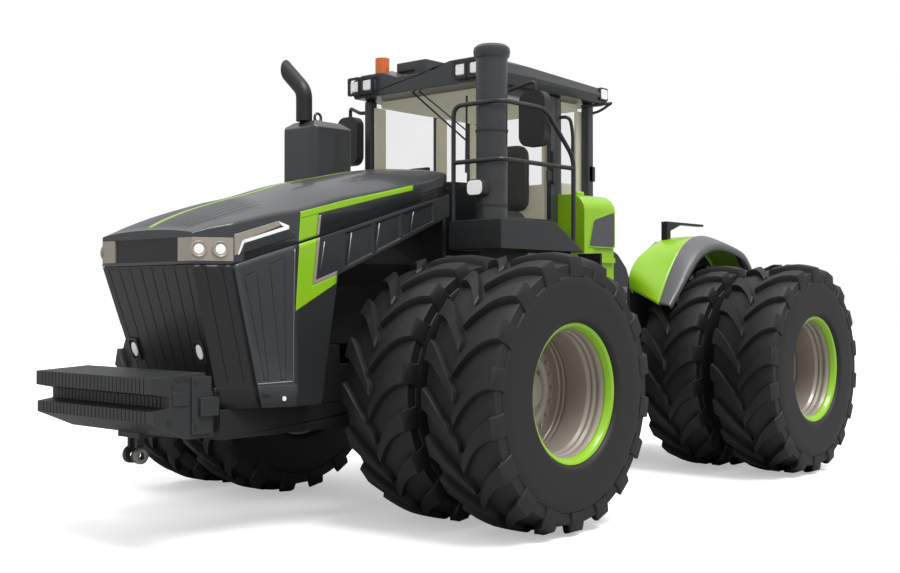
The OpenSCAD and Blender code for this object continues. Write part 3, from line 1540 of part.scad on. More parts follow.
// Drawbar, hydraulic couplers and tail lamps at the back.
module drawbar() {
    color([0.26, 0.26, 0.26]) at_rear() {
        difference() {
            block([-rear_reach, -bar_w / 2, bar_z], [-rear_reach + bar_l, bar_w / 2, bar_z + bar_t]);
            translate([-rear_reach + bar_end, 0, bar_z - eps]) cylinder(d = bar_bore, h = bar_t + eps * 2);
        }
        block([-rear_back + plate_t, -hanger_w / 2, bar_z + bar_t],
            [-rear_back + plate_t + hanger_t, hanger_w / 2, frame_z]);
    }
}
module couplers() {
    row_shares = [0.3, 0.7];
    back = rear_back + plate_t;
    color([0.2, 0.2, 0.2]) at_rear() {
        block([-back - coupler_t, -coupler_w / 2, frame_top - coupler_h],
            [-back, coupler_w / 2, frame_top]);
        for (i = [0 : coupler_count - 1]) for (k = row_shares)
            rod_x([-back - coupler_t - coupler_l,
                (i + 1 / 2 - coupler_count / 2) * coupler_w / coupler_count,
                frame_top - coupler_h * k], -back - coupler_t, coupler_d);
    }
}
module tail_lamps() {
    back = rear_back + plate_t;
    color([0.7, 0.08, 0.06]) at_rear() both_sides()
        block([-back - tail_t, frame_w / 2 - tail_w, frame_top - tail_h], [-back, frame_w / 2, frame_top]);
}

front_frame();
front_hinge();
front_axle();
engine();
transmission();
grille();
side_panels();
front_weights();
weight_carrier();
tow_clevis();
cowl();
hood();
headlamps();
nose_lamps();
cab_floor();
cab_posts();
cab_panels();
cab_glass();
cab_roof();
roof_lamps();
roof_receiver();
beacon();
seat();
steering_column();
steering_wheel();
door_hinges();
cab_door();
door_glass();
decks();
ladder();
hand_rails();
intake_stack();
exhaust_box();
exhaust_pipe();
mirrors();
fuel_tanks();
hinge_yoke();
rear_frame();
rear_axle();
rear_body();
rear_fenders();
fender_bands();
lamp_brackets();
drawbar();
couplers();
tail_lamps();
front_left_tyres();
front_left_rims();
front_right_tyres();
front_right_rims();
rear_left_tyres();
rear_left_rims();
rear_right_tyres();
rear_right_rims();
steering_barrel_left();
steering_rod_left();
steering_barrel_right();
steering_rod_right();
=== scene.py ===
"""Articulated farm tractor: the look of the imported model, in its own frame."""
import math
import bmesh
import bpy
import numpy as np
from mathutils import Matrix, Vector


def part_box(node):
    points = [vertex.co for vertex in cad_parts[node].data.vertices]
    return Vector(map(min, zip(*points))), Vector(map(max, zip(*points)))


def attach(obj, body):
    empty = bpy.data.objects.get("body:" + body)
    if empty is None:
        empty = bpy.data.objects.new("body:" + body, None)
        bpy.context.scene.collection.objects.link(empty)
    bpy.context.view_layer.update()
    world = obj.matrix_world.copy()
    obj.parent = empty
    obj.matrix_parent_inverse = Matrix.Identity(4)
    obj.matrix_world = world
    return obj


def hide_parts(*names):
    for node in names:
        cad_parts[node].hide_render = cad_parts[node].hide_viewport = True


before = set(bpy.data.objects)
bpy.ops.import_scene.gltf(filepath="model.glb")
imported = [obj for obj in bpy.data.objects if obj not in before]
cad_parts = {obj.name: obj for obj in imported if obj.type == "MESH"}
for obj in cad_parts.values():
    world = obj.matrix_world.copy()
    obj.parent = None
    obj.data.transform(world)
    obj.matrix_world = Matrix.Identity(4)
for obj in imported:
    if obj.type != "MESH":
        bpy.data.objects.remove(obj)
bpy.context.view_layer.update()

# Camera and studio: the camera stands off the front left corner at about chest height, as in the picture,
# in a white room with a broad light overhead, so the dark paint reads by its soft reflections.
white = (1, 1, 1, 1)
camera_yaw = math.radians(-138.70)
camera_pitch = math.radians(0.57)
camera = bpy.data.cameras.new("camera")
camera.lens = 47.8
camera.sensor_width = 36
camera.shift_x = 0.005
camera_object = bpy.data.objects.new("camera", camera)
camera_object.location = (8.424, 7.11, 1.704)
camera_object.rotation_euler = (math.pi / 2 + camera_pitch, 0, camera_yaw - math.pi / 2)
bpy.context.scene.collection.objects.link(camera_object)
bpy.context.scene.camera = camera_object
bpy.context.scene.view_settings.view_transform = "Standard"


def node(tree, kind, links=(), **settings):
    """Adds a shader node, sets its properties, and fills input sockets from (name, value or socket) pairs."""
    made = tree.nodes.new(kind)
    for key, value in settings.items():
        setattr(made, key, value)
    for key, value in links:
        if isinstance(value, bpy.types.NodeSocket):
            tree.links.new(value, made.inputs[key])
        else:
            made.inputs[key].default_value = value
    return made


def calc(tree, operation, first, second=0.0, third=0.0):
    """One arithmetic step of a shader: the output socket of a Math node."""
    links = [(0, first), (1, second), (2, third)]
    return node(tree, "ShaderNodeMath", links, operation=operation).outputs[0]


def ramp(tree, value, start, end, low, high):
    """Straight ramp from low at start to high at end, flat outside: the output socket of a Map Range node."""
    links = [("Value", value), ("From Min", start), ("From Max", end), ("To Min", low), ("To Max", high)]
    return node(tree, "ShaderNodeMapRange", links).outputs["Result"]


world = bpy.data.worlds.new("studio")
world.use_nodes = True
sky = world.node_tree
sky.nodes.clear()
direction = node(sky, "ShaderNodeTexCoord").outputs["Generated"]
height = node(sky, "ShaderNodeSeparateXYZ", [("Vector", direction)]).outputs["Z"]
glow = ramp(sky, height, -0.1, 0.9, 0.3, 1.05)
room = node(sky, "ShaderNodeBackground", [("Color", white), ("Strength", glow)]).outputs[0]
backdrop = node(sky, "ShaderNodeBackground", [("Color", white), ("Strength", 1.0)]).outputs[0]
seen = node(sky, "ShaderNodeLightPath").outputs["Is Camera Ray"]
mixed = node(sky, "ShaderNodeMixShader", [(0, seen), (1, room), (2, backdrop)]).outputs[0]
node(sky, "ShaderNodeOutputWorld", [("Surface", mixed)])
bpy.context.scene.world = world
sun = bpy.data.lights.new("overhead", "SUN")
sun.energy = 2.2
sun.angle = 0.5
sun_object = bpy.data.objects.new("overhead", sun)
sun_object.rotation_euler = (0.42, 0.2, 2.6)
bpy.context.scene.collection.objects.link(sun_object)
floor_reach = 60
floor_corners = [(x * floor_reach, y * floor_reach, 0) for x, y in ((-1, -1), (1, -1), (1, 1), (-1, 1))]
floor_mesh = bpy.data.meshes.new("floor")
floor_mesh.from_pydata(floor_corners, [], [(0, 1, 2, 3)])
floor = bpy.data.objects.new("floor", floor_mesh)
bpy.context.scene.collection.objects.link(floor)
floor_paint = bpy.data.materials.new("floor_white")
floor_paint.use_nodes = True
floor_nodes = floor_paint.node_tree
floor_base = floor_nodes.nodes["Principled BSDF"]
floor_base.inputs["Roughness"].default_value = 0.9
floor_base.inputs["Specular IOR Level"].default_value = 0.1
floor_base.inputs["Emission Color"].default_value = white
floor_seen = node(floor_nodes, "ShaderNodeLightPath").outputs["Is Camera Ray"]
floor_nodes.links.new(ramp(floor_nodes, floor_seen, 0.0, 1.0, 0.42, 0.96), floor_base.inputs["Base Color"])
floor_nodes.links.new(calc(floor_nodes, "MULTIPLY", floor_seen, 0.42), floor_base.inputs["Emission Strength"])
floor_mesh.materials.append(floor_paint)

# Frames and hinge: rails of welded plate with a yoke on an upright pin between them, all sprayed dark grey.
# The plates are flame cut, so their edges are only slightly broken. Dust lies on the paint near the ground.
dust_color = (0.2, 0.185, 0.16, 1)
surface_inputs = [("Color", (0.1, 0.1, 0.1, 1)), ("Roughness", 0.4), ("Dust", 0.2)]
surface_outputs = ["Color", "Roughness", "Height"]
sharp_angle = math.radians(32)


def surface_group(name):
    """A shader group for one kind of surface; returns its tree, coordinates, given sockets and output."""
    tree = bpy.data.node_groups.new(name, "ShaderNodeTree")
    for label, value in surface_inputs:
        kind = "NodeSocketColor" if isinstance(value, tuple) else "NodeSocketFloat"
        tree.interface.new_socket(label, in_out="INPUT", socket_type=kind).default_value = value
    for label in surface_outputs:
        kind = "NodeSocketColor" if label == "Color" else "NodeSocketFloat"
        tree.interface.new_socket(label, in_out="OUTPUT", socket_type=kind)
    coords = node(tree, "ShaderNodeTexCoord").outputs["Object"]
    return tree, coords, node(tree, "NodeGroupInput").outputs, node(tree, "NodeGroupOutput")


def give(result, *sockets):
    """Links the colour, roughness and height of a surface to the output node of its group."""
    for label, socket in zip(surface_outputs, sockets):
        result.id_data.links.new(socket, result.inputs[label])


def noise(tree, coords, scale, detail):
    """A grey cloud of the given scale in Object coordinates."""
    links = [("Vector", coords), ("Scale", scale), ("Detail", detail)]
    return node(tree, "ShaderNodeTexNoise", links).outputs[0]


def blend_color(tree, share, first, second, mode="MIX"):
    """Mixes two colours by a share."""
    links = [(0, share), (6, first), (7, second)]
    return node(tree, "ShaderNodeMix", links, data_type="RGBA", blend_type=mode).outputs[2]


def dust_share(tree, coords, cloud, amount, clean_z, dirty_z, least):
    """Share of dust: a cloud times an amount, all of it up to dirty_z and the least of it at clean_z."""
    z = node(tree, "ShaderNodeSeparateXYZ", [("Vector", coords)]).outputs["Z"]
    low_share = ramp(tree, z, clean_z, dirty_z, least, 1.0)
    return calc(tree, "MULTIPLY", calc(tree, "MULTIPLY", low_share, cloud), amount)


paint_tree, coords, given, result = surface_group("sprayed_paint")
cloud = noise(paint_tree, coords, 1.4, 3.0)
specks = noise(paint_tree, coords, 34.0, 6.0)
peel = noise(paint_tree, coords, 300.0, 1.0)
dusty = dust_share(paint_tree, coords, specks, given["Dust"], 2.2, 0.3, 0.12)
shade = ramp(paint_tree, cloud, 0.0, 1.0, 0.86, 1.14)
toned = blend_color(paint_tree, 1.0, given["Color"], shade, "MULTIPLY")
clouded = calc(paint_tree, "MULTIPLY_ADD", cloud, 0.08, given["Roughness"])
give(result, blend_color(paint_tree, dusty, toned, dust_color),
     calc(paint_tree, "MULTIPLY_ADD", dusty, 0.5, clouded),
     calc(paint_tree, "MULTIPLY_ADD", specks, 0.4, peel))


def material(name, tree, color, roughness, dust=0.2, bump=0.05, **sockets):
    """A Principled material whose colour, roughness and bump height come from a shared surface group."""
    made = bpy.data.materials.new(name)
    made.use_nodes = True
    nodes = made.node_tree
    base = nodes.nodes["Principled BSDF"]
    values = [("Color", (*color, 1)), ("Roughness", roughness), ("Dust", dust)]
    effect = node(nodes, "ShaderNodeGroup", values, node_tree=tree).outputs
    relief_links = [("Height", effect["Height"]), ("Strength", bump), ("Distance", 0.004)]
    relief = node(nodes, "ShaderNodeBump", relief_links)
    nodes.links.new(effect["Color"], base.inputs["Base Color"])
    nodes.links.new(effect["Roughness"], base.inputs["Roughness"])
    nodes.links.new(relief.outputs[0], base.inputs["Normal"])
    for key, value in sockets.items():
        base.inputs[key.replace("_", " ").title()].default_value = value
    return made


def rounded(made, width, segments):
    """Adds a bevel to the sharp edges of an object, and returns the modifier."""
    bevel = made.modifiers.new("edges", "BEVEL")
    bevel.width = width
    bevel.segments = segments
    bevel.limit_method = "ANGLE"
    bevel.angle_limit = sharp_angle
    return bevel


def dress(names, look, edge=0.006):
    """Gives CAD nodes a material and small rounded edges, where the solid has sharp ones."""
    for name in names:
        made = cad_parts[name]
        mesh = made.data
        mesh.materials.clear()
        mesh.materials.append(look)
        if "custom_normal" in mesh.attributes:
            mesh.attributes.remove(mesh.attributes["custom_normal"])
        mesh.shade_smooth()
        weld = made.modifiers.new("weld", "WELD")
        weld.merge_threshold = 0.0002
        rounded(made, edge, 2)
        normals = made.modifiers.new("normals", "WEIGHTED_NORMAL")
        normals.weight = 60


frame_paint = material("frame_grey", paint_tree, (0.012, 0.0125, 0.0135), 0.4, dust=0.12)
dress(["front_frame", "front_hinge", "rear_frame", "hinge_yoke"], frame_paint)

# Axles, engine and gearbox: iron castings from sand moulds, bolted to the rails. They are painted over the
# rough skin of the casting, so the paint shows its pits, and dirt settles unevenly in them.
cast_tree, coords, given, result = surface_group("sand_casting")
pits = noise(cast_tree, coords, 90.0, 5.0)
waves = noise(cast_tree, coords, 6.0, 3.0)
stain = calc(cast_tree, "MULTIPLY", calc(cast_tree, "MULTIPLY", waves, pits), given["Dust"])
give(result, blend_color(cast_tree, stain, given["Color"], dust_color),
     calc(cast_tree, "MULTIPLY_ADD", pits, 0.2, given["Roughness"]),
     calc(cast_tree, "MULTIPLY_ADD", waves, 0.5, pits))
casting = material("painted_casting", cast_tree, (0.014, 0.014, 0.015), 0.5, dust=0.2, bump=0.25)
dress(["front_axle", "rear_axle", "engine", "transmission"], casting, edge=0.012)

# Steering cylinders: drawn steel barrels, one each side of the hinge, pinned to the front frame. Their rods
# are ground and chromed, and pinned to the yoke.
chrome = material("chromed_rod", paint_tree, (0.62, 0.63, 0.64), 0.14, dust=0.1, metallic=1.0)
dress(["steering_barrel_left", "steering_barrel_right"], casting, edge=0.004)
dress(["steering_rod_left", "steering_rod_right"], chrome, edge=0.003)

# Tyres: two to a hub, each a moulded carcass whose lugs lean back from the middle of the tread and end in
# buttresses on the shoulder. The rubber is matt black, with pale dust in the lower parts.
front_x = 1.37
rear_x = -2.66
tyre_radius = 1.02
carcass_radius = 0.965
tread_half = 0.305
wall_half = 0.325
wall_low = 0.558
wall_high = 0.74
bead_half = 0.27
bead_radius = 0.478
flange_radius = 0.508
shoulder_drop = 0.034
shoulder_height = 0.081
lug_count = 18
lug_inner = 0.075
lug_outer = 0.165
lug_lean = 0.31
lug_sink = 0.02
lean_power = 1.6
buttress_y = [0.292, 0.301, 0.308, 0.315, 0.319, 0.316]
buttress_tip = [0.965, 0.925, 0.88, 0.845]
buttress_root = 0.835
inner_place = 1.065
outer_place = 1.855
corners = [("front_left", front_x, 1), ("front_right", front_x, -1), ("rear_left", rear_x, 1),
           ("rear_right", rear_x, -1)]
rubber_tree, coords, given, result = surface_group("moulded_rubber")
bloom = noise(rubber_tree, coords, 5.0, 4.0)
grit = noise(rubber_tree, coords, 140.0, 3.0)
dusty = dust_share(rubber_tree, coords, bloom, given["Dust"], 1.5, 0.0, 0.1)
give(result, blend_color(rubber_tree, dusty, given["Color"], dust_color),
     calc(rubber_tree, "MULTIPLY_ADD", bloom, 0.15, given["Roughness"]),
     calc(rubber_tree, "ADD", grit, bloom))
rubber = material("tyre_rubber", rubber_tree, (0.0095, 0.0095, 0.01), 0.5, dust=0.05, bump=0.12)


def circle(count):
    """Angles spread evenly round a circle."""
    return np.linspace(0, 2 * np.pi, count, endpoint=False)


def grid(x, y, z):
    """Points (rows, columns, 3) of three coordinates, each spread over the shape they share."""
    return np.stack(np.broadcast_arrays(x, y, z), axis=-1)


def quilt(points, loop_rows=False, loop_columns=False):
    """Vertices and quads of a grid of points (rows, columns, 3); a looped way joins its end to its start."""
    rows, columns = points.shape[:2]
    index = np.arange(rows * columns).reshape(rows, columns)
    if loop_rows:
        index = np.vstack([index, index[:1]])
    if loop_columns:
        index = np.hstack([index, index[:, :1]])
    quads = np.stack([index[:-1, :-1], index[1:, :-1], index[1:, 1:], index[:-1, 1:]], axis=-1)
    return points.reshape(-1, 3), quads.reshape(-1, 4)


def turned(profile, count):
    """Surface of revolution about Y: a profile point (radius r, place y) becomes (r cos a, y, r sin a)."""
    angle = circle(count)[:, None]
    r, y = np.asarray(profile).T
    return grid(np.cos(angle) * r, y, np.sin(angle) * r)


def lathe(profile, count):
    """Closed turned part: vertices and quads of a closed profile (radius, place) revolved about Y."""
    return quilt(turned(profile, count), True, True)


def join_parts(parts):
    """Puts several (vertices, quads) parts into one list of each."""
    starts = np.cumsum([0] + [len(v) for v, f in parts[:-1]])
    return np.vstack([v for v, f in parts]), np.vstack([f + s for (v, f), s in zip(parts, starts)])


def piece(name, parts, look, body, replaces=(), sharp=35):
    """Makes one object of (vertices, quads) parts, with closed seams and faces outwards, on a body."""
    points, quads = join_parts(parts)
    mesh = bpy.data.meshes.new(name)
    mesh.from_pydata(points.tolist(), [], quads.tolist())
    shape = bmesh.new()
    shape.from_mesh(mesh)
    bmesh.ops.remove_doubles(shape, verts=shape.verts, dist=1e-5)
    bmesh.ops.dissolve_degenerate(shape, edges=shape.edges, dist=1e-6)
    bmesh.ops.recalc_face_normals(shape, faces=shape.faces)
    shape.to_mesh(mesh)
    shape.free()
    mesh.shade_smooth()
    mesh.set_sharp_from_angle(angle=math.radians(sharp))
    mesh.materials.append(look)
    made = bpy.data.objects.new(name, mesh)
    bpy.context.scene.collection.objects.link(made)
    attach(made, body)
    if replaces:
        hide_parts(*replaces)
    return made


def carcass(count=144):
    """Round body of a tyre: a quarter wave out of the bead, a flat wall, a quarter wave to the shoulder."""
    wall_top = carcass_radius - shoulder_drop - shoulder_height
    a = np.radians(np.arange(0, 91, 7.5))
    lower = np.column_stack([flange_radius + (wall_low - flange_radius) * (1 - np.cos(a)),
                             bead_half + (wall_half - bead_half) * np.sin(a)])
    upper = np.column_stack([wall_high + (wall_top - wall_high) * np.sin(a),
                             tread_half + (wall_half - tread_half) * np.cos(a)])
    crown = np.array([[carcass_radius - shoulder_drop - 0.006, tread_half],
                      [carcass_radius - shoulder_drop, tread_half - 0.008],
                      [carcass_radius, tread_half * 0.5], [carcass_radius + 0.002, 0]])
    half = np.vstack([[[bead_radius, bead_half]], lower, upper, crown])
    other = half[-2::-1] * [1, -1]
    return lathe(np.vstack([half, other]), count)


def lugs(side):
    """Bars of one half of the tread: rings along each bar by points across its section, all bars at once."""
    t = np.concatenate([[-0.05, -0.04], np.linspace(0, 1, 13), [1, 1, 1, 1, 1]])
    main = np.clip(t, 0, 1)
    fall = shoulder_drop * np.clip((main - 0.5) * 2, 0, 1) ** 1.3
    y = tread_half * t
    y[-6:] = buttress_y
    tip = tyre_radius - fall
    tip[0] = carcass_radius - lug_sink
    tip[1] -= lug_sink / 2
    tip[-4:] = buttress_tip
    root = carcass_radius - fall - lug_sink
    root[-5:] = buttress_root
    half = (lug_inner + (lug_outer - lug_inner) * main) / 2 / tyre_radius
    across = np.array([-1.2, -1.07, -0.98, -0.9, 0.9, 0.98, 1.07, 1.2])
    rise = np.array([0, 0.5, 0.9, 1, 1, 0.9, 0.5, 0])
    radius = root[:, None] + (tip - root)[:, None] * rise
    lean = lug_lean / tyre_radius * (1 - np.abs(1 - t) ** lean_power)
    lug_pitch = 2 * np.pi / lug_count
    first = 1.5 * np.pi + lug_inner / 2 / tyre_radius + (0 if side > 0 else lug_pitch / 2)
    starts = first + lug_pitch * np.arange(lug_count)
    angle = starts[:, None, None] + lean[:, None] + half[:, None] * across
    bars = grid(radius * np.cos(angle), side * y[:, None], radius * np.sin(angle))
    return join_parts([quilt(bar) for bar in bars])


def at_corner(parts, axle_x, side):
    """Parts of a left wheel about its axle, moved to an axle and mirrored for the right side."""
    return [(points * [1, side, 1] + [axle_x, 0, tyre_radius], quads) for points, quads in parts]


tyre_points, tyre_quads = join_parts([carcass(), lugs(1), lugs(-1)])
tyres = [(tyre_points + [0, place, 0], tyre_quads) for place in (inner_place, outer_place)]
for corner, axle_x, side in corners:
    piece(corner + "_tread", at_corner(tyres, axle_x, side), rubber, corner + "_wheels",
          [corner + "_tyres"])

# Rims: rolled bands with a stepped well, a pressed disc set deep inside, and a drum that ties the two wheels
# of a hub together. They are sprayed greige, with the outer flange in lime, and bolted to the hub.
greige = material("greige_paint", paint_tree, (0.42, 0.37, 0.32), 0.32, dust=0.1, metallic=0.25,
                  coat_weight=0.3)
lime = material("lime_paint", paint_tree, (0.3, 0.6, 0.008), 0.3, dust=0.04, coat_weight=0.4)


def eased(points, size, steps=4):
    """Closed outline with every corner turned into a quadratic curve that starts at most size before it."""
    points = np.asarray(points, float)
    before = np.roll(points, 1, axis=0) - points
    after = np.roll(points, -1, axis=0) - points
    before_length = np.linalg.norm(before, axis=1)[:, None]
    after_length = np.linalg.norm(after, axis=1)[:, None]
    start = points + before / before_length * np.minimum(size, before_length * 0.45)
    end = points + after / after_length * np.minimum(size, after_length * 0.45)
    s = np.linspace(0, 1, steps)[None, :, None]
    curve = start[:, None] * (1 - s) ** 2 + points[:, None] * 2 * s * (1 - s) + end[:, None] * s ** 2
    return curve.reshape(-1, 2)


def bolt_ring(radius, y, count, size, high):
    """A ring of hexagonal bolt heads with a washer face, standing out along Y."""
    washer = size * 1.25
    head = [[0.001, y + high], [size * 0.86, y + high], [size, y + high * 0.8], [size, y + high * 0.2],
            [washer, y + high * 0.2], [washer, y - 0.004], [0.001, y - 0.004]]
    points, quads = lathe(head, 6)
    return [(points + [radius * np.cos(a), 0, radius * np.sin(a)], quads) for a in circle(count)]


rim_edge = 0.29
disc_set = 0.2
lip = rim_edge - 0.01
well = np.array([[0.492, lip], [0.47, rim_edge - 0.055], [0.455, 0.2], [0.455, 0.182], [0.466, 0.172],
                 [0.466, 0.155], [0.45, 0.148], [0.45, 0.13], [0.458, 0.12], [0.44, 0.09]])
bead_seat = [[flange_radius, lip], [flange_radius, bead_half], [bead_radius, bead_half],
             [bead_radius, -bead_half], [flange_radius, -bead_half], [flange_radius, -lip]]
rim_line = eased(np.vstack([bead_seat, well * [1, -1], well[::-1]]), 0.006)
flange_line = eased([[0.511, rim_edge + 0.004], [0.511, rim_edge - 0.02], [0.47, rim_edge - 0.06],
                     [0.464, rim_edge - 0.06], [0.464, rim_edge - 0.045], [0.484, rim_edge - 0.006]], 0.008)
plate_line = eased([[0.469, -0.015], [0.469, 0.015], [0.4, 0.015], [0.36, 0.032], [0.3, 0.032], [0.27, 0.015],
                    [0.05, 0.015], [0.05, -0.015]], 0.012)
drum_line = eased([[0.002, 0.9], [0.25, 0.9], [0.25, 1.25], [0.28, 1.26], [0.28, 1.655], [0.165, 1.672],
                   [0.165, 1.735], [0.13, 1.76], [0.002, 1.76]], 0.012)
rims = []
flanges = []
for place, inwards in ((inner_place, 1), (outer_place, -1)):
    rims.append(lathe(rim_line + [0, place], 128))
    rims.append(lathe(plate_line + [0, place + inwards * disc_set], 128))
    flanges.append(lathe(flange_line + [0, place], 128))
rims.append(lathe(drum_line, 96))
bolts = bolt_ring(0.225, 1.668, 12, 0.02, 0.03)
bolts += bolt_ring(0.33, 1.687, 20, 0.016, 0.022)
bolts += bolt_ring(0.13, 1.735, 8, 0.012, 0.014)
for corner, axle_x, side in corners:
    body = corner + "_wheels"
    piece(corner + "_rim_bands", at_corner(rims, axle_x, side), greige, body, [corner + "_rims"])
    piece(corner + "_rim_flanges", at_corner(flanges, axle_x, side), lime, body)
    piece(corner + "_wheel_bolts", at_corner(bolts, axle_x, side), greige, body)

# Front weights: iron slabs cast with plates and holes on the end ones, hung side by side on a carrier plate
# that is bolted to the frame. They are painted dark. Below them is a tow fork with turned eyes for its pin.
# The holes and a slot in the end weights are drawn as dark discs and a dark strip: painted shade.
weight_paint = material("weight_paint", cast_tree, (0.027, 0.029, 0.031), 0.38, dust=0.06, bump=0.12)
bolt_steel = material("zinc_bolts", cast_tree, (0.3, 0.29, 0.27), 0.35, dust=0.2, metallic=0.8)
dress(["front_weights"], weight_paint, edge=0.007)
dress(["weight_carrier", "tow_clevis"], weight_paint)
sides = (1, -1)
left = [0, 1, 0]
up = [0, 0, 1]


def ahead(*places):
    """Points whose x is measured forwards from the front axle."""
    return np.asarray(places, float) + [front_x, 0, 0]


def slab(centre, across, upward, outline, depth):
    """Closed plate: an outline (a, b) at centre + a across + b upward, raised by depth square to both."""
    across, upward, outline = (np.asarray(v, float) for v in (across, upward, outline))
    out = np.cross(across, upward) * depth
    ring = np.asarray(centre, float) + outline[:, :1] * across + outline[:, 1:] * upward
    middle = np.broadcast_to(ring.mean(axis=0), ring.shape)
    return quilt(np.stack([middle, ring, ring + out, middle + out]), False, True)


def hoop(centre, across, upward, outer, inner, depth):
    """Closed frame between two outlines of equal length, raised by depth along across x upward."""
    across, upward = np.asarray(across, float), np.asarray(upward, float)
    out = np.cross(across, upward) * depth
    rings = [np.asarray(centre, float) + o[:, :1] * across + o[:, 1:] * upward for o in (outer, inner)]
    return quilt(np.stack([rings[0], rings[0] + out, rings[1] + out, rings[1]]), True, True)


def side_slab(place, side, outline, depth):
    """Plate that faces outwards on one side: place is (x forwards from the front axle, y outwards, z)."""
    return slab(ahead(place)[0] * [1, side, 1], [-side, 0, 0], up, outline, depth)


def panel(wide, high, rounding):
    """Outline of a rectangle about its middle, with rounded corners."""
    half = np.array([wide, high]) / 2
    return eased(np.array([[-1, -1], [1, -1], [1, 1], [-1, 1]]) * half, rounding, 5)


def disc(radius, count=24):
    """Round outline."""
    angle = circle(count)
    return radius * np.column_stack([np.cos(angle), np.sin(angle)])


def soften(made, width, segments=3):
    """Rounds the edges of a piece and keeps its faces flat between them."""
    rounded(made, width, segments).harden_normals = True


end_plates = [([2.15, 0.7, 0.99], 0.15, 0.125, 0.035), ([2.2, 0.7, 1.0], 0.16, 0.38, 0.012),
              ([2.36, 0.7, 1.05], 0.13, 0.09, 0.008)]
hole_places = [[2.246, 0.712, 1.158], [2.246, 0.712, 0.86], [2.449, 0.7, 0.91], [2.42, 0.7, 1.13]]
weight_ends = []
weight_hole_painted_shades = []
for side in sides:
    for place, wide, high, deep in end_plates:
        weight_ends.append(side_slab(place, side, panel(wide, high, 0.012), deep))
    # Painted shade: dark discs and a strip stand for the holes and the slot.
    for place in hole_places:
        weight_hole_painted_shades.append(side_slab(place, side, disc(0.017), 0.004))
    weight_hole_painted_shades.append(side_slab([2.345, 0.7, 1.175], side, panel(0.12, 0.022, 0.006), 0.003))
soften(piece("weight_end_plates", weight_ends, weight_paint, "front_frame"), 0.004, 2)
piece("weight_hole_painted_shades", weight_hole_painted_shades, casting, "front_frame")
clevis_low, clevis_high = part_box("tow_clevis")
eye_line = np.array([[0.022, 0.0], [0.062, 0.0], [0.062, 0.012], [0.046, 0.02], [0.03, 0.02], [0.022, 0.016]])
eyes = []
for y, way in ((clevis_low.y, -1), (clevis_high.y, 1)):
    points, quads = lathe(eased(eye_line * [1, way], 0.003), 40)
    eyes.append((points + [front_x + 2.226, y, 0.617], quads))
piece("tow_eyes", eyes, bolt_steel, "front_frame")

# Nose and side panels: moulded panels on the frame under the hood, in a darker satin grey than the hood. The
# nose leans back towards its foot; its front and corners carry upright joints, its sides pressed outlines.
# Its front is a darker copy of the panel paint and its sides a lighter one, as painted shade and painted
# light, and its outlines and slots are dark strips of painted shade.
panel_paint = material("panel_paint", paint_tree, (0.023, 0.025, 0.028), 0.34, dust=0.04, coat_weight=0.15)
# Painted shade: the nose's front takes this darker copy of the panel paint.
nose_painted_shade = material("nose_painted_shade", paint_tree, (0.011, 0.012, 0.014), 0.36, dust=0.03, coat_weight=0.1)
# Painted light: the nose's sides take this lighter copy of the panel paint.
facet_painted_light = material("facet_painted_light", paint_tree, (0.05, 0.053, 0.058), 0.32, dust=0.04, coat_weight=0.2)
trim_silver = material("trim_silver", paint_tree, (0.3, 0.31, 0.32), 0.3, dust=0.0, metallic=0.6)
# Lenses glow faintly like lamps; on the lamp trims the same glow is a painted highlight.
lens = material("clear_lens", paint_tree, (0.86, 0.87, 0.88), 0.1, dust=0.0, bump=0.01, coat_weight=1.0,
                emission_color=white, emission_strength=0.22)
dress(["side_panels"], panel_paint, edge=0.008)
nose_reach = 2.15
nose_run = 0.31
nose_rear = 1.31
nose_foot = 0.93
front_half = 0.535
side_half = 0.65
facet_length = 0.26
facet_x = nose_reach - facet_length
skirt_z = 1.935
skirt_slope = 0.2835
nose_top = skirt_z - 0.006
foot_top = 1.085
foot_proud = 0.008
thin = 0.0015


def thicken(made, thickness):
    """Gives a sheet its thickness, inwards from the modelled face."""
    wall = made.modifiers.new("wall", "SOLIDIFY")
    wall.thickness = thickness
    wall.offset = -1


def both_sides(sheets, closed=False):
    """Quilts of grids of points on the left and of their mirror images on the right."""
    return [quilt(sheet * [1, side, 1], closed, closed) for side in sides for sheet in sheets]


def nose_plan(z):
    """Front reach, half width of the front, and half width and set-back of the corner at heights z."""
    share = (skirt_z - z) / (skirt_z - nose_foot)
    return (nose_reach - nose_run * share, front_half - 0.095 * share, side_half - 0.1 * share,
            facet_length + 0.02 * share)


def nose_side(share, z):
    """Points of the nose's left side at heights z: share 0 at the corner, share 1 at the side panel."""
    reach, half, corner_half, back = nose_plan(z)
    x = reach - back + (nose_rear - reach + back) * share
    return grid(front_x + x, corner_half + (side_half - corner_half) * share, z)


def nose_heights(top):
    """Rows of heights up the nose: two on its foot, then thirty from the foot's upper edge to the top."""
    foot = np.broadcast_to([[nose_foot], [foot_top - 0.004]], (2, len(top)))
    return np.vstack([foot, foot_top + (top - foot_top) * np.linspace(0, 1, 30)[:, None]])


def jointed(count, joints, half, depth):
    """Even shares across a face with four more at each joint, and the depth of the joints' grooves there."""
    joints = np.array(joints)
    beside = joints[:, None] + half * np.array([-1, -0.6, 0.6, 1])
    shares = np.unique(np.concatenate([np.linspace(0, 1, count), beside.ravel()]))
    return shares, (np.abs(shares[:, None] - joints).min(axis=1) < half * 0.7) * depth


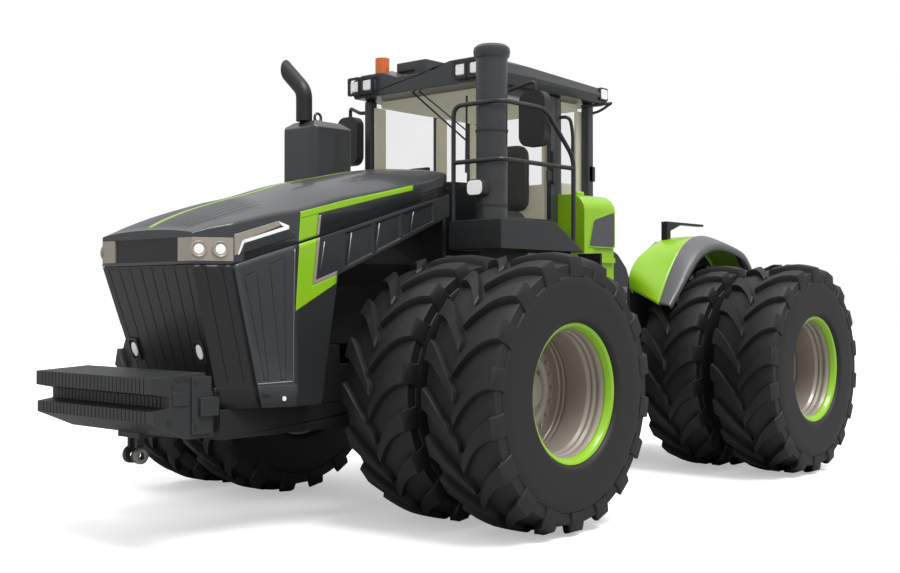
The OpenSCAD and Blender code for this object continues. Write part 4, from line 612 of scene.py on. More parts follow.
front_shares, front_depth = jointed(12, [0.12, 0.37, 0.62, 0.87], 0.009, 0.007)
corner_shares, corner_depth = jointed(8, [0.3, 0.7], 0.016, 0.006)
front_z = nose_heights(np.array([nose_top]))
proud = np.where(front_z < foot_top, foot_proud, 0.0)
grooved = (front_z > foot_top + 0.03) & (front_z < skirt_z - 0.03)
reach, half, corner_half, back = nose_plan(front_z)
face = grid(front_x + reach + proud - grooved * front_depth, half * front_shares, front_z)
corner_x = reach - back * corner_shares + proud * 0.6 - grooved * corner_depth * 0.4
corner_y = half + (corner_half - half) * corner_shares + proud * 0.8 - grooved * corner_depth * 0.9
turning = grid(front_x + corner_x, corner_y, front_z)
side_shares = np.linspace(0, 1, 14)
flank_z = nose_heights(nose_top + (facet_x - nose_rear) * side_shares * skirt_slope)
flank = nose_side(side_shares, flank_z)
flank[:2, :, 1] += foot_proud
for name, sheets, look, gone in (("nose_front", [face, turning], nose_painted_shade, ["grille"]),
                                 ("nose_sides", [flank], facet_painted_light, [])):
    thicken(piece(name, both_sides(sheets), look, "front_frame", gone, sharp=24), 0.018)


def nose_line(first, last, wide, count=24):
    """Thin raised ribbon on the nose's side between two (share, z) ends; a share is about 0.6 m long."""
    metres = np.array([0.6, 1])
    first, last = np.array(first), np.array(last)
    way = (last - first) * metres
    beside = np.array([way[1], -way[0]]) / np.linalg.norm(way) / metres
    spot = first + (last - first) * np.linspace(0, 1, count)[:, None]
    lanes = [spot + beside * wide * k for k in (-0.5, 0.5)]
    return np.stack([nose_side(lane[:, 0], lane[:, 1]) for lane in lanes], axis=1) + [0, thin, 0]


# Painted shade: the pressed outlines are dark ribbons laid where the shade of their grooves falls.
groove_painted_shades = []
for bends in ([[0.13, 1.86], [0.34, 1.9], [0.3, 1.13], [0.2, 1.13]],
              [[0.55, 1.95], [0.8, 2.0], [0.72, 1.13], [0.6, 1.13]]):
    for k in range(4):
        groove_painted_shades.append(nose_line(bends[k], bends[(k + 1) % 4], 0.006))
trims = [nose_line([0.96, 2.06], [0.9, 1.11], 0.009), nose_line([0.9, 1.11], [0.02, 1.1], 0.009)]
for name, lines, look in (("nose_groove_painted_shades", groove_painted_shades, casting), ("nose_trims", trims, trim_silver)):
    thicken(piece(name, both_sides(lines), look, "front_frame"), thin)
nose_lean = math.atan2(nose_run, skirt_z - nose_foot)
nose_up = [math.sin(nose_lean), 0, math.cos(nose_lean)]
slot_place = nose_side(np.array([0.25]), np.array([1.005]))[0] - [front_x, -0.009, 0]
stud_place = nose_side(np.array([0.62]), np.array([0.99]))[0] - [front_x, -0.009, 0]
lamp_frames = []
lamp_glass = []
# Painted shade: dark slabs behind the lamp frames and on the nose's sides stand for recesses.
slot_painted_shades = []
for side in sides:
    spot = ahead([1.967, 0.385 * side, 1.335])[0]
    lamp_frames.append(hoop(spot, left, nose_up, panel(0.105, 0.17, 0.012), panel(0.085, 0.14, 0.02), 0.012))
    slot_painted_shades.append(slab(spot, left, nose_up, panel(0.09, 0.15, 0.01), 0.003))
    slot_painted_shades.append(side_slab(slot_place, side, panel(0.15, 0.018, 0.006), 0.002))
    lamp_glass.append(slab(spot, left, nose_up, disc(0.5, 32) * [0.062, 0.105], 0.01))
    lamp_glass.append(side_slab(stud_place, side, disc(0.017), 0.006))
piece("nose_lamp_frames", lamp_frames, panel_paint, "front_frame")
piece("nose_slot_painted_shades", slot_painted_shades, casting, "front_frame")
piece("nose_lamp_lenses", lamp_glass, lens, "front_frame", ["nose_lamps"])
vent_low = 1.916
vent_bend = 0.896
vent_slope = 0.4047
dividers = []
for side in sides:
    for x in (1.09, 0.815, 0.515, 0.13):
        low_z = vent_low + max(vent_bend - x, 0) * vent_slope
        high_z = skirt_z + (facet_x - x) * skirt_slope - 0.045
        y = (side_half + 0.001) * side
        ring = ahead([x, y, low_z], [x - 0.013, y, low_z + 0.004], [x - 0.05, y, high_z + 0.01],
                     [x - 0.037, y, high_z])
        dividers.append((ring, np.array([[0, 1, 2, 3]])))
thicken(piece("vent_dividers", dividers, trim_silver, "front_frame"), 0.003)

# Hood: a pressed lid that hinges at the cab, with pressed ribs on its front half, a rounded upper edge above
# straight sides, and a recess round the nose for the lamps. Satin graphite with a lime stripe on its middle.
nose = front_x + nose_reach
hood_length = 2.5
hood_front_z = 2.18
hood_rise = 0.62
rear_half = 0.615
skirt_rear = 2.57
facet_share = 0.104
hood_shares = np.array([0, 0.03, facet_share, 0.24, 0.36, 0.5, 0.66, 0.8, 0.93, 1])
rise_table = np.array([0, 0.068, 0.197, 0.374, 0.505, 0.673, 0.81, 0.926, 0.992, 1])
crown_table = np.array([0.19, 0.3, 0.52, 0.72, 0.88, 0.94, 1, 1, 0.8, 0.41])
crown_height = 0.16
crown_power = 2.4
rib_front = 2.12
rib_rear = 1.3
rib_sweep = 0.2
rib_inner = 0.09
rib_outer = 0.81
rib_pitch = 0.1
rib_height = 0.005
band_low = 1.958
band_high = 2.118
recess = 0.014
graphite = material("graphite_paint", paint_tree, (0.042, 0.045, 0.05), 0.28, dust=0.03, coat_weight=0.35)


def smooth_table(at, places, values):
    """Cubic curve through a table: each stretch is a Hermite piece with the table's mean slopes."""
    slope = np.gradient(values, places)
    i = np.clip(np.searchsorted(places, at) - 1, 0, len(places) - 2)
    step = places[i + 1] - places[i]
    u = (at - places[i]) / step
    return (values[i] * (1 + 2 * u) * (1 - u) ** 2 + slope[i] * step * u * (1 - u) ** 2
            + values[i + 1] * u ** 2 * (3 - 2 * u) + slope[i + 1] * step * u ** 2 * (u - 1))


def hood_lines(share):
    """Half width, side height, crown and edge rounding of the hood at shares of its length."""
    wide = np.interp(share, [0, facet_share, 1], [front_half, side_half, rear_half])
    mid = smooth_table(share, hood_shares, rise_table * hood_rise + hood_front_z)
    crown = smooth_table(share, hood_shares, crown_table * crown_height)
    edge = np.interp(share, [0, facet_share, 0.3], [0.014, 0.022, 0.028])
    return wide, mid - crown, crown, edge


def hood_top(share, across):
    """Height of the hood's upper face at a share of its length and of its half width, ribs included."""
    wide, side, crown, edge = hood_lines(share)
    flat = side + crown * (1 - np.abs(across) ** crown_power)
    x = nose_reach - share * hood_length
    lane = np.abs(across) * wide / (wide - edge)
    along = np.clip((x - rib_rear - rib_sweep * lane) / 0.16, 0, 1) * np.clip((rib_front - x) / 0.03, 0, 1)
    between = np.clip((lane - rib_inner) / 0.02, 0, 1) * np.clip((rib_outer - lane) / 0.02, 0, 1)
    return flat + rib_height * along * between * np.cos(2 * np.pi * (lane / rib_pitch - 1))


def hood_edge(share):
    """Heights of the rounded upper edge: its foot on the wall, the corner it rounds, its upper end."""
    wide, side, crown, edge = hood_lines(share)
    across = (wide - edge) / wide
    top = hood_top(share, across)
    return side - edge, top - edge * crown_power * crown * across ** (crown_power - 1) / wide, top


lengths = np.unique(np.concatenate([np.linspace(0, facet_share, 9), np.linspace(facet_share, 0.42, 40),
                                    np.linspace(0.42, 1, 40)]))[:, None]
wide, side_z, crown, edge_round = hood_lines(lengths)
low = np.interp(lengths, [0, facet_share, 1], [skirt_z, skirt_z, skirt_rear])
in_lamps = (lengths < facet_share - 0.002) * 1.0
band_z = np.array([band_low - 0.001, band_low, band_high, band_high + 0.001])
band_rows = np.broadcast_to(band_z, (len(lengths), 4))
wall_z = np.maximum(np.concatenate([low, band_rows, side_z - edge_round], 1), low)
wall_y = wide - in_lamps * recess * np.array([0, 0, 1, 1, 0, 0])
bend = np.arange(1, 8) / 8
foot_z, corner_z, end_z = hood_edge(lengths)
bend_y = wide - edge_round * bend ** 2
bend_z = foot_z * (1 - bend) ** 2 + corner_z * 2 * bend * (1 - bend) + end_z * bend ** 2
top_share = np.linspace(1, 0, 112) * (wide - edge_round) / wide
half_y = np.concatenate([wall_y, bend_y, top_share * wide], 1)
half_z = np.concatenate([wall_z, bend_z, hood_top(lengths, top_share)], 1)
full_y = np.concatenate([half_y, -half_y[:, -2::-1]], 1)
full_z = np.concatenate([half_z, half_z[:, -2::-1]], 1)
shell = grid(nose - lengths * hood_length, full_y, full_z)
cap = grid(nose, half_y[0][:, None] * np.linspace(-1, 1, 24), half_z[0][:, None])
cap[2:4, :, 0] -= recess
hood = piece("hood_lid", [quilt(shell), quilt(cap)], graphite, "hood", ["hood"], sharp=50)
thicken(hood, 0.02)


def on_hood(x, z):
    """Place y of the hood's left side at x, z; on the rounded edge it solves the edge's quadratic for z."""
    share = (nose_reach - x) / hood_length
    wide, side, crown, edge = hood_lines(share)
    foot, corner, end = hood_edge(share)
    above = np.maximum(z - foot, 0)
    root = np.sqrt((corner - foot) ** 2 + (foot - 2 * corner + end) * above)
    return wide - edge * np.minimum(above / (corner - foot + root), 1) ** 2


def on_panel(x, z):
    """Place y of the flat side panel, the same at every x, z."""
    return side_half


def patch(bends, place, out, side, count=14):
    """Ruled patch between four (x, z) corners, laid on the side surface y = place(x, z) and lifted by out."""
    c = np.asarray(bends, float)
    u = np.linspace(0, 1, count)[:, None, None]
    v = np.linspace(0, 1, count)[None, :, None]
    flat = (c[0] * (1 - u) + c[3] * u) * (1 - v) + (c[1] * (1 - u) + c[2] * u) * v
    x, z = flat[..., 0], flat[..., 1]
    return quilt(grid(front_x + x, (place(x, z) + out) * side, z))


def film(name, patches, place, out, look, body, extra=()):
    """A set of thin patches on both sides of the tractor, one millimetre thick."""
    parts = [patch(bends, place, out, side) for bends in patches for side in sides] + list(extra)
    thicken(piece(name, parts, look, body), 0.001)


stripe_share = np.linspace(0.012, 0.985, 60)[:, None]
stripe_wide = hood_lines(stripe_share)[0]
stripe_half = np.interp(stripe_share, [0, 0.5, 1], [0.022, 0.03, 0.05])
stripe_across = stripe_half / stripe_wide * np.linspace(-1, 1, 7)
stripe_z = hood_top(stripe_share, stripe_across) + thin
stripe = grid(nose - stripe_share * hood_length, stripe_across * stripe_wide, stripe_z)
arm_x = np.linspace(1.276, 0.06, 60)[:, None]
arm_stops = [0.06, 0.424, 0.815, 1.07, 1.28]
arm_high = np.interp(arm_x, arm_stops, [2.608, 2.528, 2.444, 2.38, 2.328])
arm_low = np.interp(arm_x, arm_stops, [2.566, 2.486, 2.392, 2.333, 2.28])
arm_z = arm_low + (arm_high - arm_low) * np.linspace(0, 1, 9)
arm = grid(front_x + arm_x, on_hood(arm_x, arm_z) + 0.002, arm_z)
film("hood_stripes", [[[1.2765, 2.3], [1.09, 2.35], [1.116, 2.16], [1.2925, 2.11]]],
     on_hood, 0.0012, lime, "hood", [quilt(stripe)] + both_sides([arm]))
film("hood_seals", [[[1.29, 2.06], [1.29, 2.16], [-0.32, 2.616], [-0.32, 2.516]]],
     on_panel, -0.03, frame_paint, "front_frame")
film("panel_stripes", [[[1.2935, 2.096], [1.118, 2.145], [1.164, 1.797], [1.329, 1.611]],
                       [[1.329, 1.611], [1.164, 1.797], [0.92, 1.88], [0.929, 1.816]]],
     on_panel, thin, lime, "front_frame")
film("hood_stripe_edges", [[[1.092, 2.312], [1.068, 2.318], [1.09, 2.166], [1.114, 2.16]]],
     on_hood, thin, greige, "hood")
film("panel_stripe_edges", [[[1.116, 2.145], [1.092, 2.151], [1.132, 1.838], [1.162, 1.8]],
                            [[1.162, 1.8], [1.132, 1.838], [0.916, 1.91], [0.92, 1.884]]],
     on_panel, thin, greige, "front_frame")

# Headlamps: a moulded greige housing let into each corner of the hood, with two round lamps in turned bowls
# behind clear lenses. A pale tail with a bright trim runs back from each housing along the hood's side; the
# trim's brightness is a painted highlight, drawn in the glowing lens material.
dress(["headlamps"], greige)
bowl_line = [[0.057, 0.001], [0.055, 0.012], [0.05, 0.014], [0.038, 0.004], [0.001, 0.003]]
cover_line = [[0.037, 0.004], [0.034, 0.008], [0.02, 0.011], [0.001, 0.012], [0.001, 0.004]]
band_middle = (band_low + band_high) / 2
facet_front = np.array([nose, front_half])
facet = np.array([-facet_length, side_half - front_half])
facet_way = facet / np.linalg.norm(facet)
lamp_axes = np.array([[facet_way[0], facet_way[1], 0], [facet_way[1], -facet_way[0], 0], up])
bowls = []
covers = []
for share in (0.16, 0.68):
    centre = np.append(facet_front + facet * share, band_middle)
    bowls.append(turned(bowl_line, 40) @ lamp_axes + centre)
    covers.append(turned(cover_line, 40) @ lamp_axes + centre)
piece("headlamp_bowls", both_sides(bowls, True), greige, "hood")
piece("headlamp_lenses", both_sides(covers, True), lens, "hood")
film("lamp_tails", [[[1.885, 2.14], [1.492, 2.251], [1.46, 2.222], [1.81, 2.1]],
                    [[1.885, 2.14], [1.81, 2.1], [1.852, 2.008], [1.885, 1.99]]],
     on_hood, 0.004, greige, "hood")
# Painted highlight: the trims glow in the lens material, though they are no lamp.
film("lamp_trim_painted_highlights", [[[1.858, 2.0], [1.844, 2.004], [1.802, 2.084], [1.816, 2.1]],
                    [[1.816, 2.102], [1.802, 2.084], [1.385, 2.2], [1.42, 2.218]],
                    [[1.492, 2.251], [1.46, 2.222], [1.39, 2.196], [1.385, 2.222]]],
     on_hood, 0.006, lens, "hood")
film("lamp_insets", [[[1.842, 2.004], [1.8, 2.078], [1.385, 2.192], [1.322, 2.146]]],
     on_hood, 0.002, panel_paint, "hood")
# Painted shade: the panel in the lamp recess takes the nose's darker paint.
band_panel = slab([nose - recess + 0.001, 0, band_middle], left, up, panel(0.72, 0.15, 0.01), 0.003)
piece("lamp_band_panel", [band_panel], nose_painted_shade, "hood")

# Cab: a welded frame of square posts on a floor tub, with tinted panes bonded in all round. Inside are pale
# moulded linings on posts, roof and rear wall, and a dark console beside the seat with a screen on a post.
# The linings glow faintly: painted light that brightens the dim inside of the cab.
dress(["cowl", "cab_floor", "cab_panels"], panel_paint, edge=0.01)
dress(["cab_posts"], graphite, edge=0.02)
glass = bpy.data.materials.new("tinted_glass")
glass.use_nodes = True
glass_nodes = glass.node_tree
glass_base = glass_nodes.nodes["Principled BSDF"]
glass_base.inputs["Base Color"].default_value = (0.02, 0.026, 0.025, 1)
glass_base.inputs["Roughness"].default_value = 0.02
smear = noise(glass_nodes, node(glass_nodes, "ShaderNodeTexCoord").outputs["Object"], 3.0, 4.0)
facing = node(glass_nodes, "ShaderNodeLayerWeight", [("Blend", 0.12)]).outputs["Fresnel"]
veil = calc(glass_nodes, "MULTIPLY_ADD", smear, 0.03, 0.03)
glass_nodes.links.new(calc(glass_nodes, "MULTIPLY_ADD", facing, 0.35, veil), glass_base.inputs["Alpha"])
dress(["cab_glass", "door_glass"], glass, edge=0.002)
plastic = material("cab_plastic", cast_tree, (0.03, 0.03, 0.031), 0.5, dust=0.1, bump=0.1)
# Painted light: the linings' faint cream glow brightens them as if more light reached inside.
lining_painted_light = material("cream_lining_painted_light", cast_tree, (0.72, 0.69, 0.55), 0.6, dust=0.05, bump=0.1,
                  emission_color=(0.75, 0.71, 0.56, 1), emission_strength=0.2)
lining_low = 2.34
lining_high = 3.46


def brick(low, high):
    """Closed box in the cab between two corners, with x measured back from the front axle."""
    low, high = (np.array([front_x - x, y, z]) for x, y, z in (low, high))
    share = np.array([[0, 0, 0], [1, 0, 0], [1, 1, 0], [0, 1, 0], [0, 0, 1], [1, 0, 1], [1, 1, 1], [0, 1, 1]])
    quads = np.array([[0, 3, 2, 1], [4, 5, 6, 7], [0, 1, 5, 4], [1, 2, 6, 5], [2, 3, 7, 6], [3, 0, 4, 7]])
    return low + share * (high - low), quads


linings = [brick([2.2, -0.64, lining_high], [0.86, 0.64, 3.525]),
           brick([2.24, -0.6, lining_low], [2.0, 0.6, 2.78])]
for x in (0.85, 1.71, 2.22):
    for y in (0.625, -0.655):
        linings.append(brick([x + 0.07, y, lining_low], [x - 0.07, y + 0.03, lining_high]))
soften(piece("cab_linings", linings, lining_painted_light, "front_frame"), 0.012)
console = [brick([2.0, -0.5, 2.0], [1.5, -0.31, 2.6]), brick([1.9, -0.48, 2.6], [1.56, -0.34, 2.66]),
           brick([1.24, -0.6, 2.75], [1.2, -0.36, 2.93]), brick([1.23, -0.5, 2.0], [1.19, -0.46, 2.75])]
soften(piece("cab_console", console, plastic, "front_frame"), 0.015)

# Seat: a sprung base bolted to the floor, with two pads of foam in sewn woven cloth. A dark cord is sewn
# round the middle of each pad, where its two halves of cloth meet.
pad_cloth = material("seat_cloth", cast_tree, (0.1, 0.1, 0.1), 0.85, dust=0.1, bump=0.3)


def bow(wave, power=5.0):
    """A sine or cosine raised to two over power, with its sign kept, which squares off a circle's sides."""
    return np.sign(wave) * np.abs(wave) ** (2 / power)


def pad(low, high):
    """Stuffed pad: a superellipsoid between two corners, with x measured back from the front axle."""
    low, high = (np.array([front_x - x, y, z]) for x, y, z in (low, high))
    lat = np.linspace(-np.pi / 2, np.pi / 2, 40)[:, None]
    lon = np.linspace(-np.pi, np.pi, 80, endpoint=False)[None, :]
    wide = bow(np.cos(lat))
    unit = grid(wide * bow(np.cos(lon)), wide * bow(np.sin(lon)), bow(np.sin(lat)))
    return (low + high) / 2 + unit * (high - low) / 2


def points_of(made):
    """Vertices of an object's mesh, one row each."""
    points = np.zeros(len(made.data.vertices) * 3)
    made.data.vertices.foreach_get("co", points)
    return points.reshape(-1, 3)


def stuffed(made, swell=0.022, voxel=0.01):
    """Fills a pad as cloth under pressure, caps how far each point moves, and subdivides it once."""
    remesh = made.modifiers.new("voxels", "REMESH")
    remesh.mode = "VOXEL"
    remesh.voxel_size = voxel
    bpy.context.view_layer.objects.active = made
    bpy.ops.object.modifier_apply(modifier="voxels")
    before = points_of(made)
    cloth = made.modifiers.new("filling", "CLOTH")
    cloth.settings.use_pressure = True
    cloth.settings.uniform_pressure_force = 4
    cloth.settings.effector_weights.gravity = 0
    for step in range(1, 21):
        bpy.context.scene.frame_set(step)
    bpy.ops.object.modifier_apply(modifier="filling")
    bpy.context.scene.frame_set(1)
    moved = points_of(made) - before
    far = np.linalg.norm(moved, axis=1, keepdims=True)
    moved *= np.minimum(1, swell / np.maximum(far, 1e-9))
    made.data.vertices.foreach_set("co", (before + moved).ravel())
    made.data.shade_smooth()
    finish = made.modifiers.new("smooth", "SUBSURF")
    finish.levels = finish.render_levels = 1


def piping(made, first, second, radius=0.007):
    """Sewn cord round a pad: a squared circle at its middle, in the plane of two axes, carried as a tube."""
    points = points_of(made)
    middle = (points.min(axis=0) + points.max(axis=0)) / 2
    half = (points.max(axis=0) - points.min(axis=0)) / 2 - radius / 2
    angle = circle(120)[:, None]
    axes = np.eye(3)
    loop = bow(np.cos(angle)) * half[first] * axes[first] + bow(np.sin(angle)) * half[second] * axes[second]
    out = loop / np.linalg.norm(loop, axis=1)[:, None]
    around = circle(10)[:, None]
    section = out[:, None] * np.cos(around) + np.cross(axes[first], axes[second]) * np.sin(around)
    return quilt(middle + loop[:, None] + radius * section, True, True)


seat_floor = 1.94
seat_pads = [("seat_cushion", [1.99, -0.255, seat_floor + 0.445], [1.505, 0.255, seat_floor + 0.565], 0, 1),
             ("seat_backrest", [2.01, -0.25, seat_floor + 0.57], [1.905, 0.25, seat_floor + 1.24], 1, 2)]
seams = []
for name, low_corner, high_corner, first, second in seat_pads:
    cover = quilt(pad(low_corner, high_corner), False, True)
    shape = piece(name, [cover], pad_cloth, "front_frame")
    stuffed(shape)
    seams.append(piping(shape, first, second))
piece("seat_piping", seams, plastic, "front_frame")
base = brick([1.95, -0.16, seat_floor], [1.64, 0.16, seat_floor + 0.44])
soften(piece("seat_base", [base], panel_paint, "front_frame", ["seat"]), 0.02)

# Steering column and wheel: a moulded cover over the column, bolted to the floor. The wheel has a padded rim
# on three spokes, all in the same dark plastic.
dress(["steering_column"], plastic, edge=0.03)
dress(["steering_wheel"], plastic, edge=0.012)

# Door: a welded frame round one tinted pane, hung on two pins at its front edge. A moulded latch sits at its
# rear edge, and a bent tube on the post behind it gives a hold to climb by.
dress(["cab_door", "door_hinges"], graphite, edge=0.01)
latch = [side_slab([-1.645, 0.75, 2.88], 1, panel(0.06, 0.3, 0.015), 0.03),
         side_slab([-1.6, 0.75, 2.8], 1, panel(0.11, 0.09, 0.015), 0.018)]
soften(piece("door_latch", latch, plastic, "door"), 0.006)


def bent(points, size, steps=7):
    """Open path whose inner corners are turned into short quadratic curves."""
    points = np.asarray(points, float)
    path = [points[:1]]
    s = np.linspace(0, 1, steps)[:, None]
    for before, here, after in zip(points[:-2], points[1:-1], points[2:]):
        start = here + (before - here) * min(0.45, size / np.linalg.norm(before - here))
        end = here + (after - here) * min(0.45, size / np.linalg.norm(after - here))
        path.append(start * (1 - s) ** 2 + here * 2 * s * (1 - s) + end * s ** 2)
    return np.vstack(path + [points[-1:]])


def tube(points, radius, size=0.06, sides_round=12):
    """Round bar along a bent path: rings square to the path, closed at both ends."""
    path = bent(points, size)
    way = np.gradient(path, axis=0)
    way /= np.linalg.norm(way, axis=1)[:, None]
    first = np.cross(way, [0.31, 0.52, 0.795])
    first /= np.linalg.norm(first, axis=1)[:, None]
    second = np.cross(way, first)
    angle = circle(sides_round)[None, :, None]
    rings = path[:, None] + radius * (first[:, None] * np.cos(angle) + second[:, None] * np.sin(angle))
    ends = np.repeat(path[:, None], sides_round, axis=1)
    return quilt(np.concatenate([ends[:1], rings, ends[-1:]]), False, True)


grab_path = ahead([-1.735, 0.69, 3.34], [-1.8, 0.83, 3.35], [-1.83, 0.84, 3.2], [-1.83, 0.84, 2.63])
piece("grab_rail", [tube(grab_path, 0.016)], panel_paint, "front_frame")

# Roof: a moulded lid on the posts, with work lamps let into its front and an aerial box and a beacon on top.
# Below it hangs a wiper; at the rear are a work lamp, tube stays and a moulded block on each side.
dress(["cab_roof"], graphite, edge=0.018)
dress(["roof_receiver"], graphite, edge=0.015)
dress(["roof_lamps"], lens, edge=0.012)
amber = material("amber_lens", paint_tree, (0.8, 0.16, 0.015), 0.15, dust=0.05, coat_weight=1.0)
dress(["beacon"], amber, edge=0.03)
lamp_low, lamp_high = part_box("roof_lamps")
lamp_z = (lamp_low.z + lamp_high.z) / 2
surrounds = []
rear_housings = []
rear_lenses = []
brackets = []
for side in sides:
    for y in (0.716, 0.554):
        spot = [lamp_high.x - 0.012, y * side, lamp_z]
        surrounds.append(hoop(spot, left, up, panel(0.155, 0.165, 0.02), panel(0.112, 0.122, 0.02), 0.022))
    rear_housings.append(side_slab([-2.3, 0.83, 3.61], side, panel(0.13, 0.12, 0.02), 0.035))
    rear_lenses.append(side_slab([-2.3, 0.864, 3.61], side, panel(0.1, 0.09, 0.02), 0.006))
    for path in (ahead([-2.17, 0.7, 3.5], [-2.3, 0.8, 3.52], [-2.46, 0.84, 3.55]),
                 ahead([-2.2, 0.68, 3.42], [-2.34, 0.78, 3.46], [-2.46, 0.84, 3.55])):
        brackets.append(tube(path * [1, side, 1], 0.013))
    brackets.append(side_slab([-2.27, 0.69, 2.87], side, panel(0.1, 0.14, 0.015), 0.06))
piece("lamp_surrounds", surrounds, panel_paint, "front_frame")
piece("rear_lamp_housings", rear_housings, panel_paint, "front_frame")
piece("rear_lamp_lenses", rear_lenses, lens, "front_frame")
piece("rear_brackets", brackets, plastic, "front_frame")
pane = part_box("cab_glass")[1].x - front_x + 0.018
roof_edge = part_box("cab_roof")[1].x - front_x - 0.02
wiper = [tube(ahead([roof_edge, -0.2, 3.66], [pane + 0.05, -0.14, 3.57], [pane, 0.49, 3.06]), 0.008),
         tube(ahead([roof_edge, -0.15, 3.66], [pane + 0.05, -0.09, 3.59], [pane, 0.5, 3.14]), 0.006),
         tube(ahead([pane, 0.5, 3.44], [pane, 0.495, 3.1], [pane, 0.49, 2.78]), 0.009)]
piece("wiper", wiper, plastic, "front_frame")

# Decks, ladder and rails: decks of folded plate on both sides of the cab, a ladder of folded steps welded
# between plates, and rails of bent tube. All are bolted to the cab's sills and painted dark.
dress(["decks"], panel_paint, edge=0.01)
dress(["ladder"], frame_paint, edge=0.004)
dress(["hand_rails"], panel_paint, edge=0.002)

# Intake stack, exhaust and mirrors: a rolled sheet stack with moulded clips and a lamp on the left deck,
# a box with a black pipe on the right deck, and moulded mirror heads with silvered panes on tube arms.
dress(["intake_stack", "exhaust_box"], graphite, edge=0.012)
stack = ahead([-0.42, 1.04, 0])[0]
fittings = [slab(ahead([-0.305, 1.03, 2.585])[0], left, up, panel(0.17, 0.135, 0.05), 0.085)]
for z in (2.44, 3.04):
    fittings.append(hoop(stack + [0, 0, z], [1, 0, 0], left, disc(0.133, 48), disc(0.1268, 48), 0.022))
soften(piece("stack_fittings", fittings, plastic, "front_frame"), 0.008)
stack_lens = slab(ahead([-0.219, 1.03, 2.585])[0], left, up, panel(0.15, 0.115, 0.045), 0.008)
piece("stack_lamp_lens", [stack_lens], lens, "front_frame")
soot = material("pipe_black", paint_tree, (0.012, 0.012, 0.012), 0.4, dust=0.1)
dress(["exhaust_pipe"], soot, edge=0.002)
dress(["mirrors"], plastic, edge=0.01)
mirror_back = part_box("mirrors")[0].x
mirror_line = panel(0.235, 0.425, 0.07)
panes = [slab([mirror_back, 1.1 * side, 3.2], [0, -1, 0], up, mirror_line, 0.002) for side in sides]
piece("mirror_panes", panes, chrome, "front_frame")

# Fuel tanks: moulded hollow in a turning mould, lime like the fenders, one on each side. Each has a
# dark cover let into its outer face, a raised lip round the cover, a bar below it and a screw cap on top.
dress(["fuel_tanks"], lime, edge=0.03)
inset_grey = material("inset_grey", paint_tree, (0.085, 0.087, 0.092), 0.4, dust=0.05)
tank_face = 1.0495
inset = np.array([[-2.19, 2.5], [-1.84, 2.41], [-1.765, 2.16], [-2.19, 2.16]])
cap_line = eased([[0.001, 0.04], [0.045, 0.04], [0.058, 0.03], [0.058, -0.005], [0.001, -0.005]], 0.008)
tank_covers = []
tank_edges = []
caps = []
for side in sides:
    flat = inset * [-side, 1]
    middle = flat.mean(axis=0)
    lip_line = eased(flat, 0.03)
    cover_edge = eased(middle + (flat - middle) * 0.94, 0.03)
    tank_covers.append(side_slab([0, tank_face, 0], side, cover_edge, 0.004))
    face_middle = ahead([0, tank_face * side, 0])[0]
    tank_edges.append(hoop(face_middle, [-side, 0, 0], up, lip_line, cover_edge, 0.006))
    tank_edges.append(side_slab([-1.957, tank_face, 2.05], side, panel(0.46, 0.05, 0.02), 0.012))
    points, quads = lathe(cap_line, 40)
    caps.append((points[:, [0, 2, 1]] + ahead([-1.95, 0.81 * side, 2.64]), quads))
piece("tank_caps", caps, lime, "front_frame")
piece("tank_covers", tank_covers, inset_grey, "front_frame")
piece("tank_edges", tank_edges, lime, "front_frame")

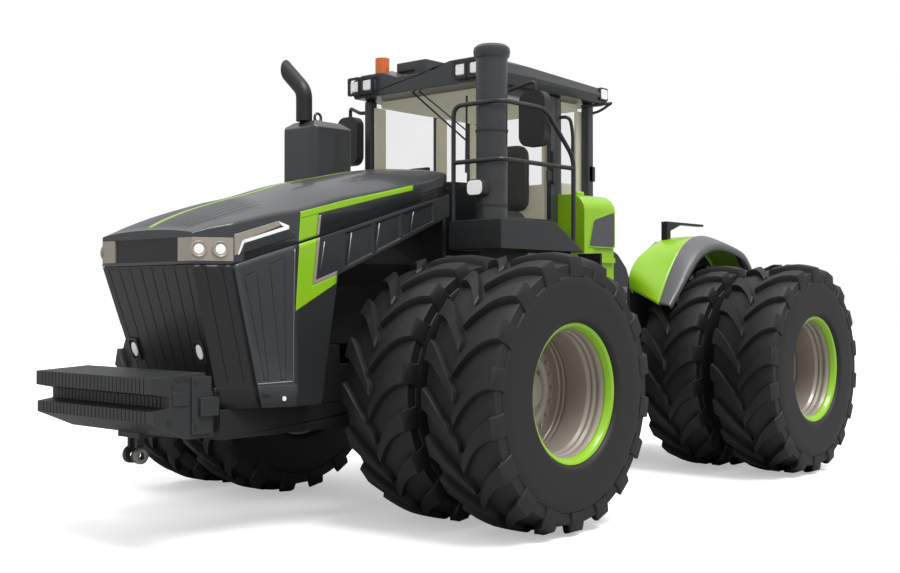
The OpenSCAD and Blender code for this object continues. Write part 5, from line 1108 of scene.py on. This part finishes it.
# Rear body, fenders and brackets: a welded plate box on the rear frame, with moulded lime fenders over the
# inner tyres, grey bands along their outer edges and plate brackets for the lamps.
dress(["rear_body"], panel_paint, edge=0.01)
dress(["lamp_brackets"], frame_paint, edge=0.005)
band_grey = material("band_grey", paint_tree, (0.13, 0.13, 0.138), 0.36, dust=0.05)
fender_reach = 1.27
fender_y = 0.59
fender_wide = 0.36
band_y = 0.948
band_wide = 0.172
inner_line = [[0.685, 0.614], [0.685, 0.724], [0.595, 0.835], [0.445, 0.921], [0.26, 1], [-0.394, 1],
              [-0.55, 0.953], [-0.693, 0.827], [-0.764, 0.693]]
joint_line = [[0.709, 0.488], [0.63, 0.606], [0.561, 0.709], [0.394, 0.909], [0.283, 0.984], [-0.354, 0.98],
              [-0.504, 0.929], [-0.63, 0.819], [-0.709, 0.709]]
outer_line = [[0.787, 0.484], [0.63, 0.63], [0.472, 0.772], [0.315, 0.9], [0.236, 0.937], [-0.307, 0.946],
              [-0.441, 0.906], [-0.551, 0.819], [-0.63, 0.709]]


def fender_line(table, count=72):
    """Smooth line through (x, z) shares of the fender's reach, evenly spread along its length."""
    table = np.array(table)
    run = np.concatenate([[0], np.cumsum(np.linalg.norm(np.diff(table, axis=0), axis=1))])
    t = np.linspace(0, run[-1], count)
    return np.column_stack([smooth_table(t, run, table[:, k]) for k in (0, 1)])[:, None] * fender_reach


def fender(name, xz, y, look, gone):
    """A pair of fender sheets: (x, z) from the rear axle by places y, the same along each line."""
    sheet = grid(rear_x + xz[..., 0], y, tyre_radius + xz[..., 1])
    thicken(piece(name, both_sides([sheet]), look, "rear_frame", [gone], sharp=40), 0.01)


inner, joint, outer = (fender_line(table) for table in (inner_line, joint_line, outer_line))
v = np.concatenate([[0, 0], np.linspace(0, 1, 12)])[:, None]
flange = np.concatenate([[0.94, 0.985], np.ones(12)])[:, None]
lime_xz = (inner * (1 - v) + joint * v) * (1 + 0.02 * v * (1 - v)) * flange
fender("fender_tops", lime_xz, fender_y + fender_wide * v[:, 0], lime, "rear_fenders")
w = np.array([0, 0, 0.25, 0.5, 0.75, 0.92, 1, 1, 1])[:, None]
lift = np.array([0.985, 1.008, 1.009, 1.009, 1.006, 1.002, 0.99, 0.97, 0.945])[:, None]
band_xz = (joint * (1 - w) + outer * w) * lift
fender("fender_edges", band_xz, band_y + band_wide * w[:, 0], band_grey, "fender_bands")

# Drawbar, couplers and tail lamps: a flame cut bar bolted under the rear frame, a cast block of hydraulic
# couplers above it, and a moulded red lamp on each side.
dress(["drawbar"], frame_paint, edge=0.008)
dress(["couplers"], casting, edge=0.004)
red_lens = material("red_lens", paint_tree, (0.5, 0.012, 0.012), 0.15, dust=0.05, coat_weight=1.0)
dress(["tail_lamps"], red_lens, edge=0.008)
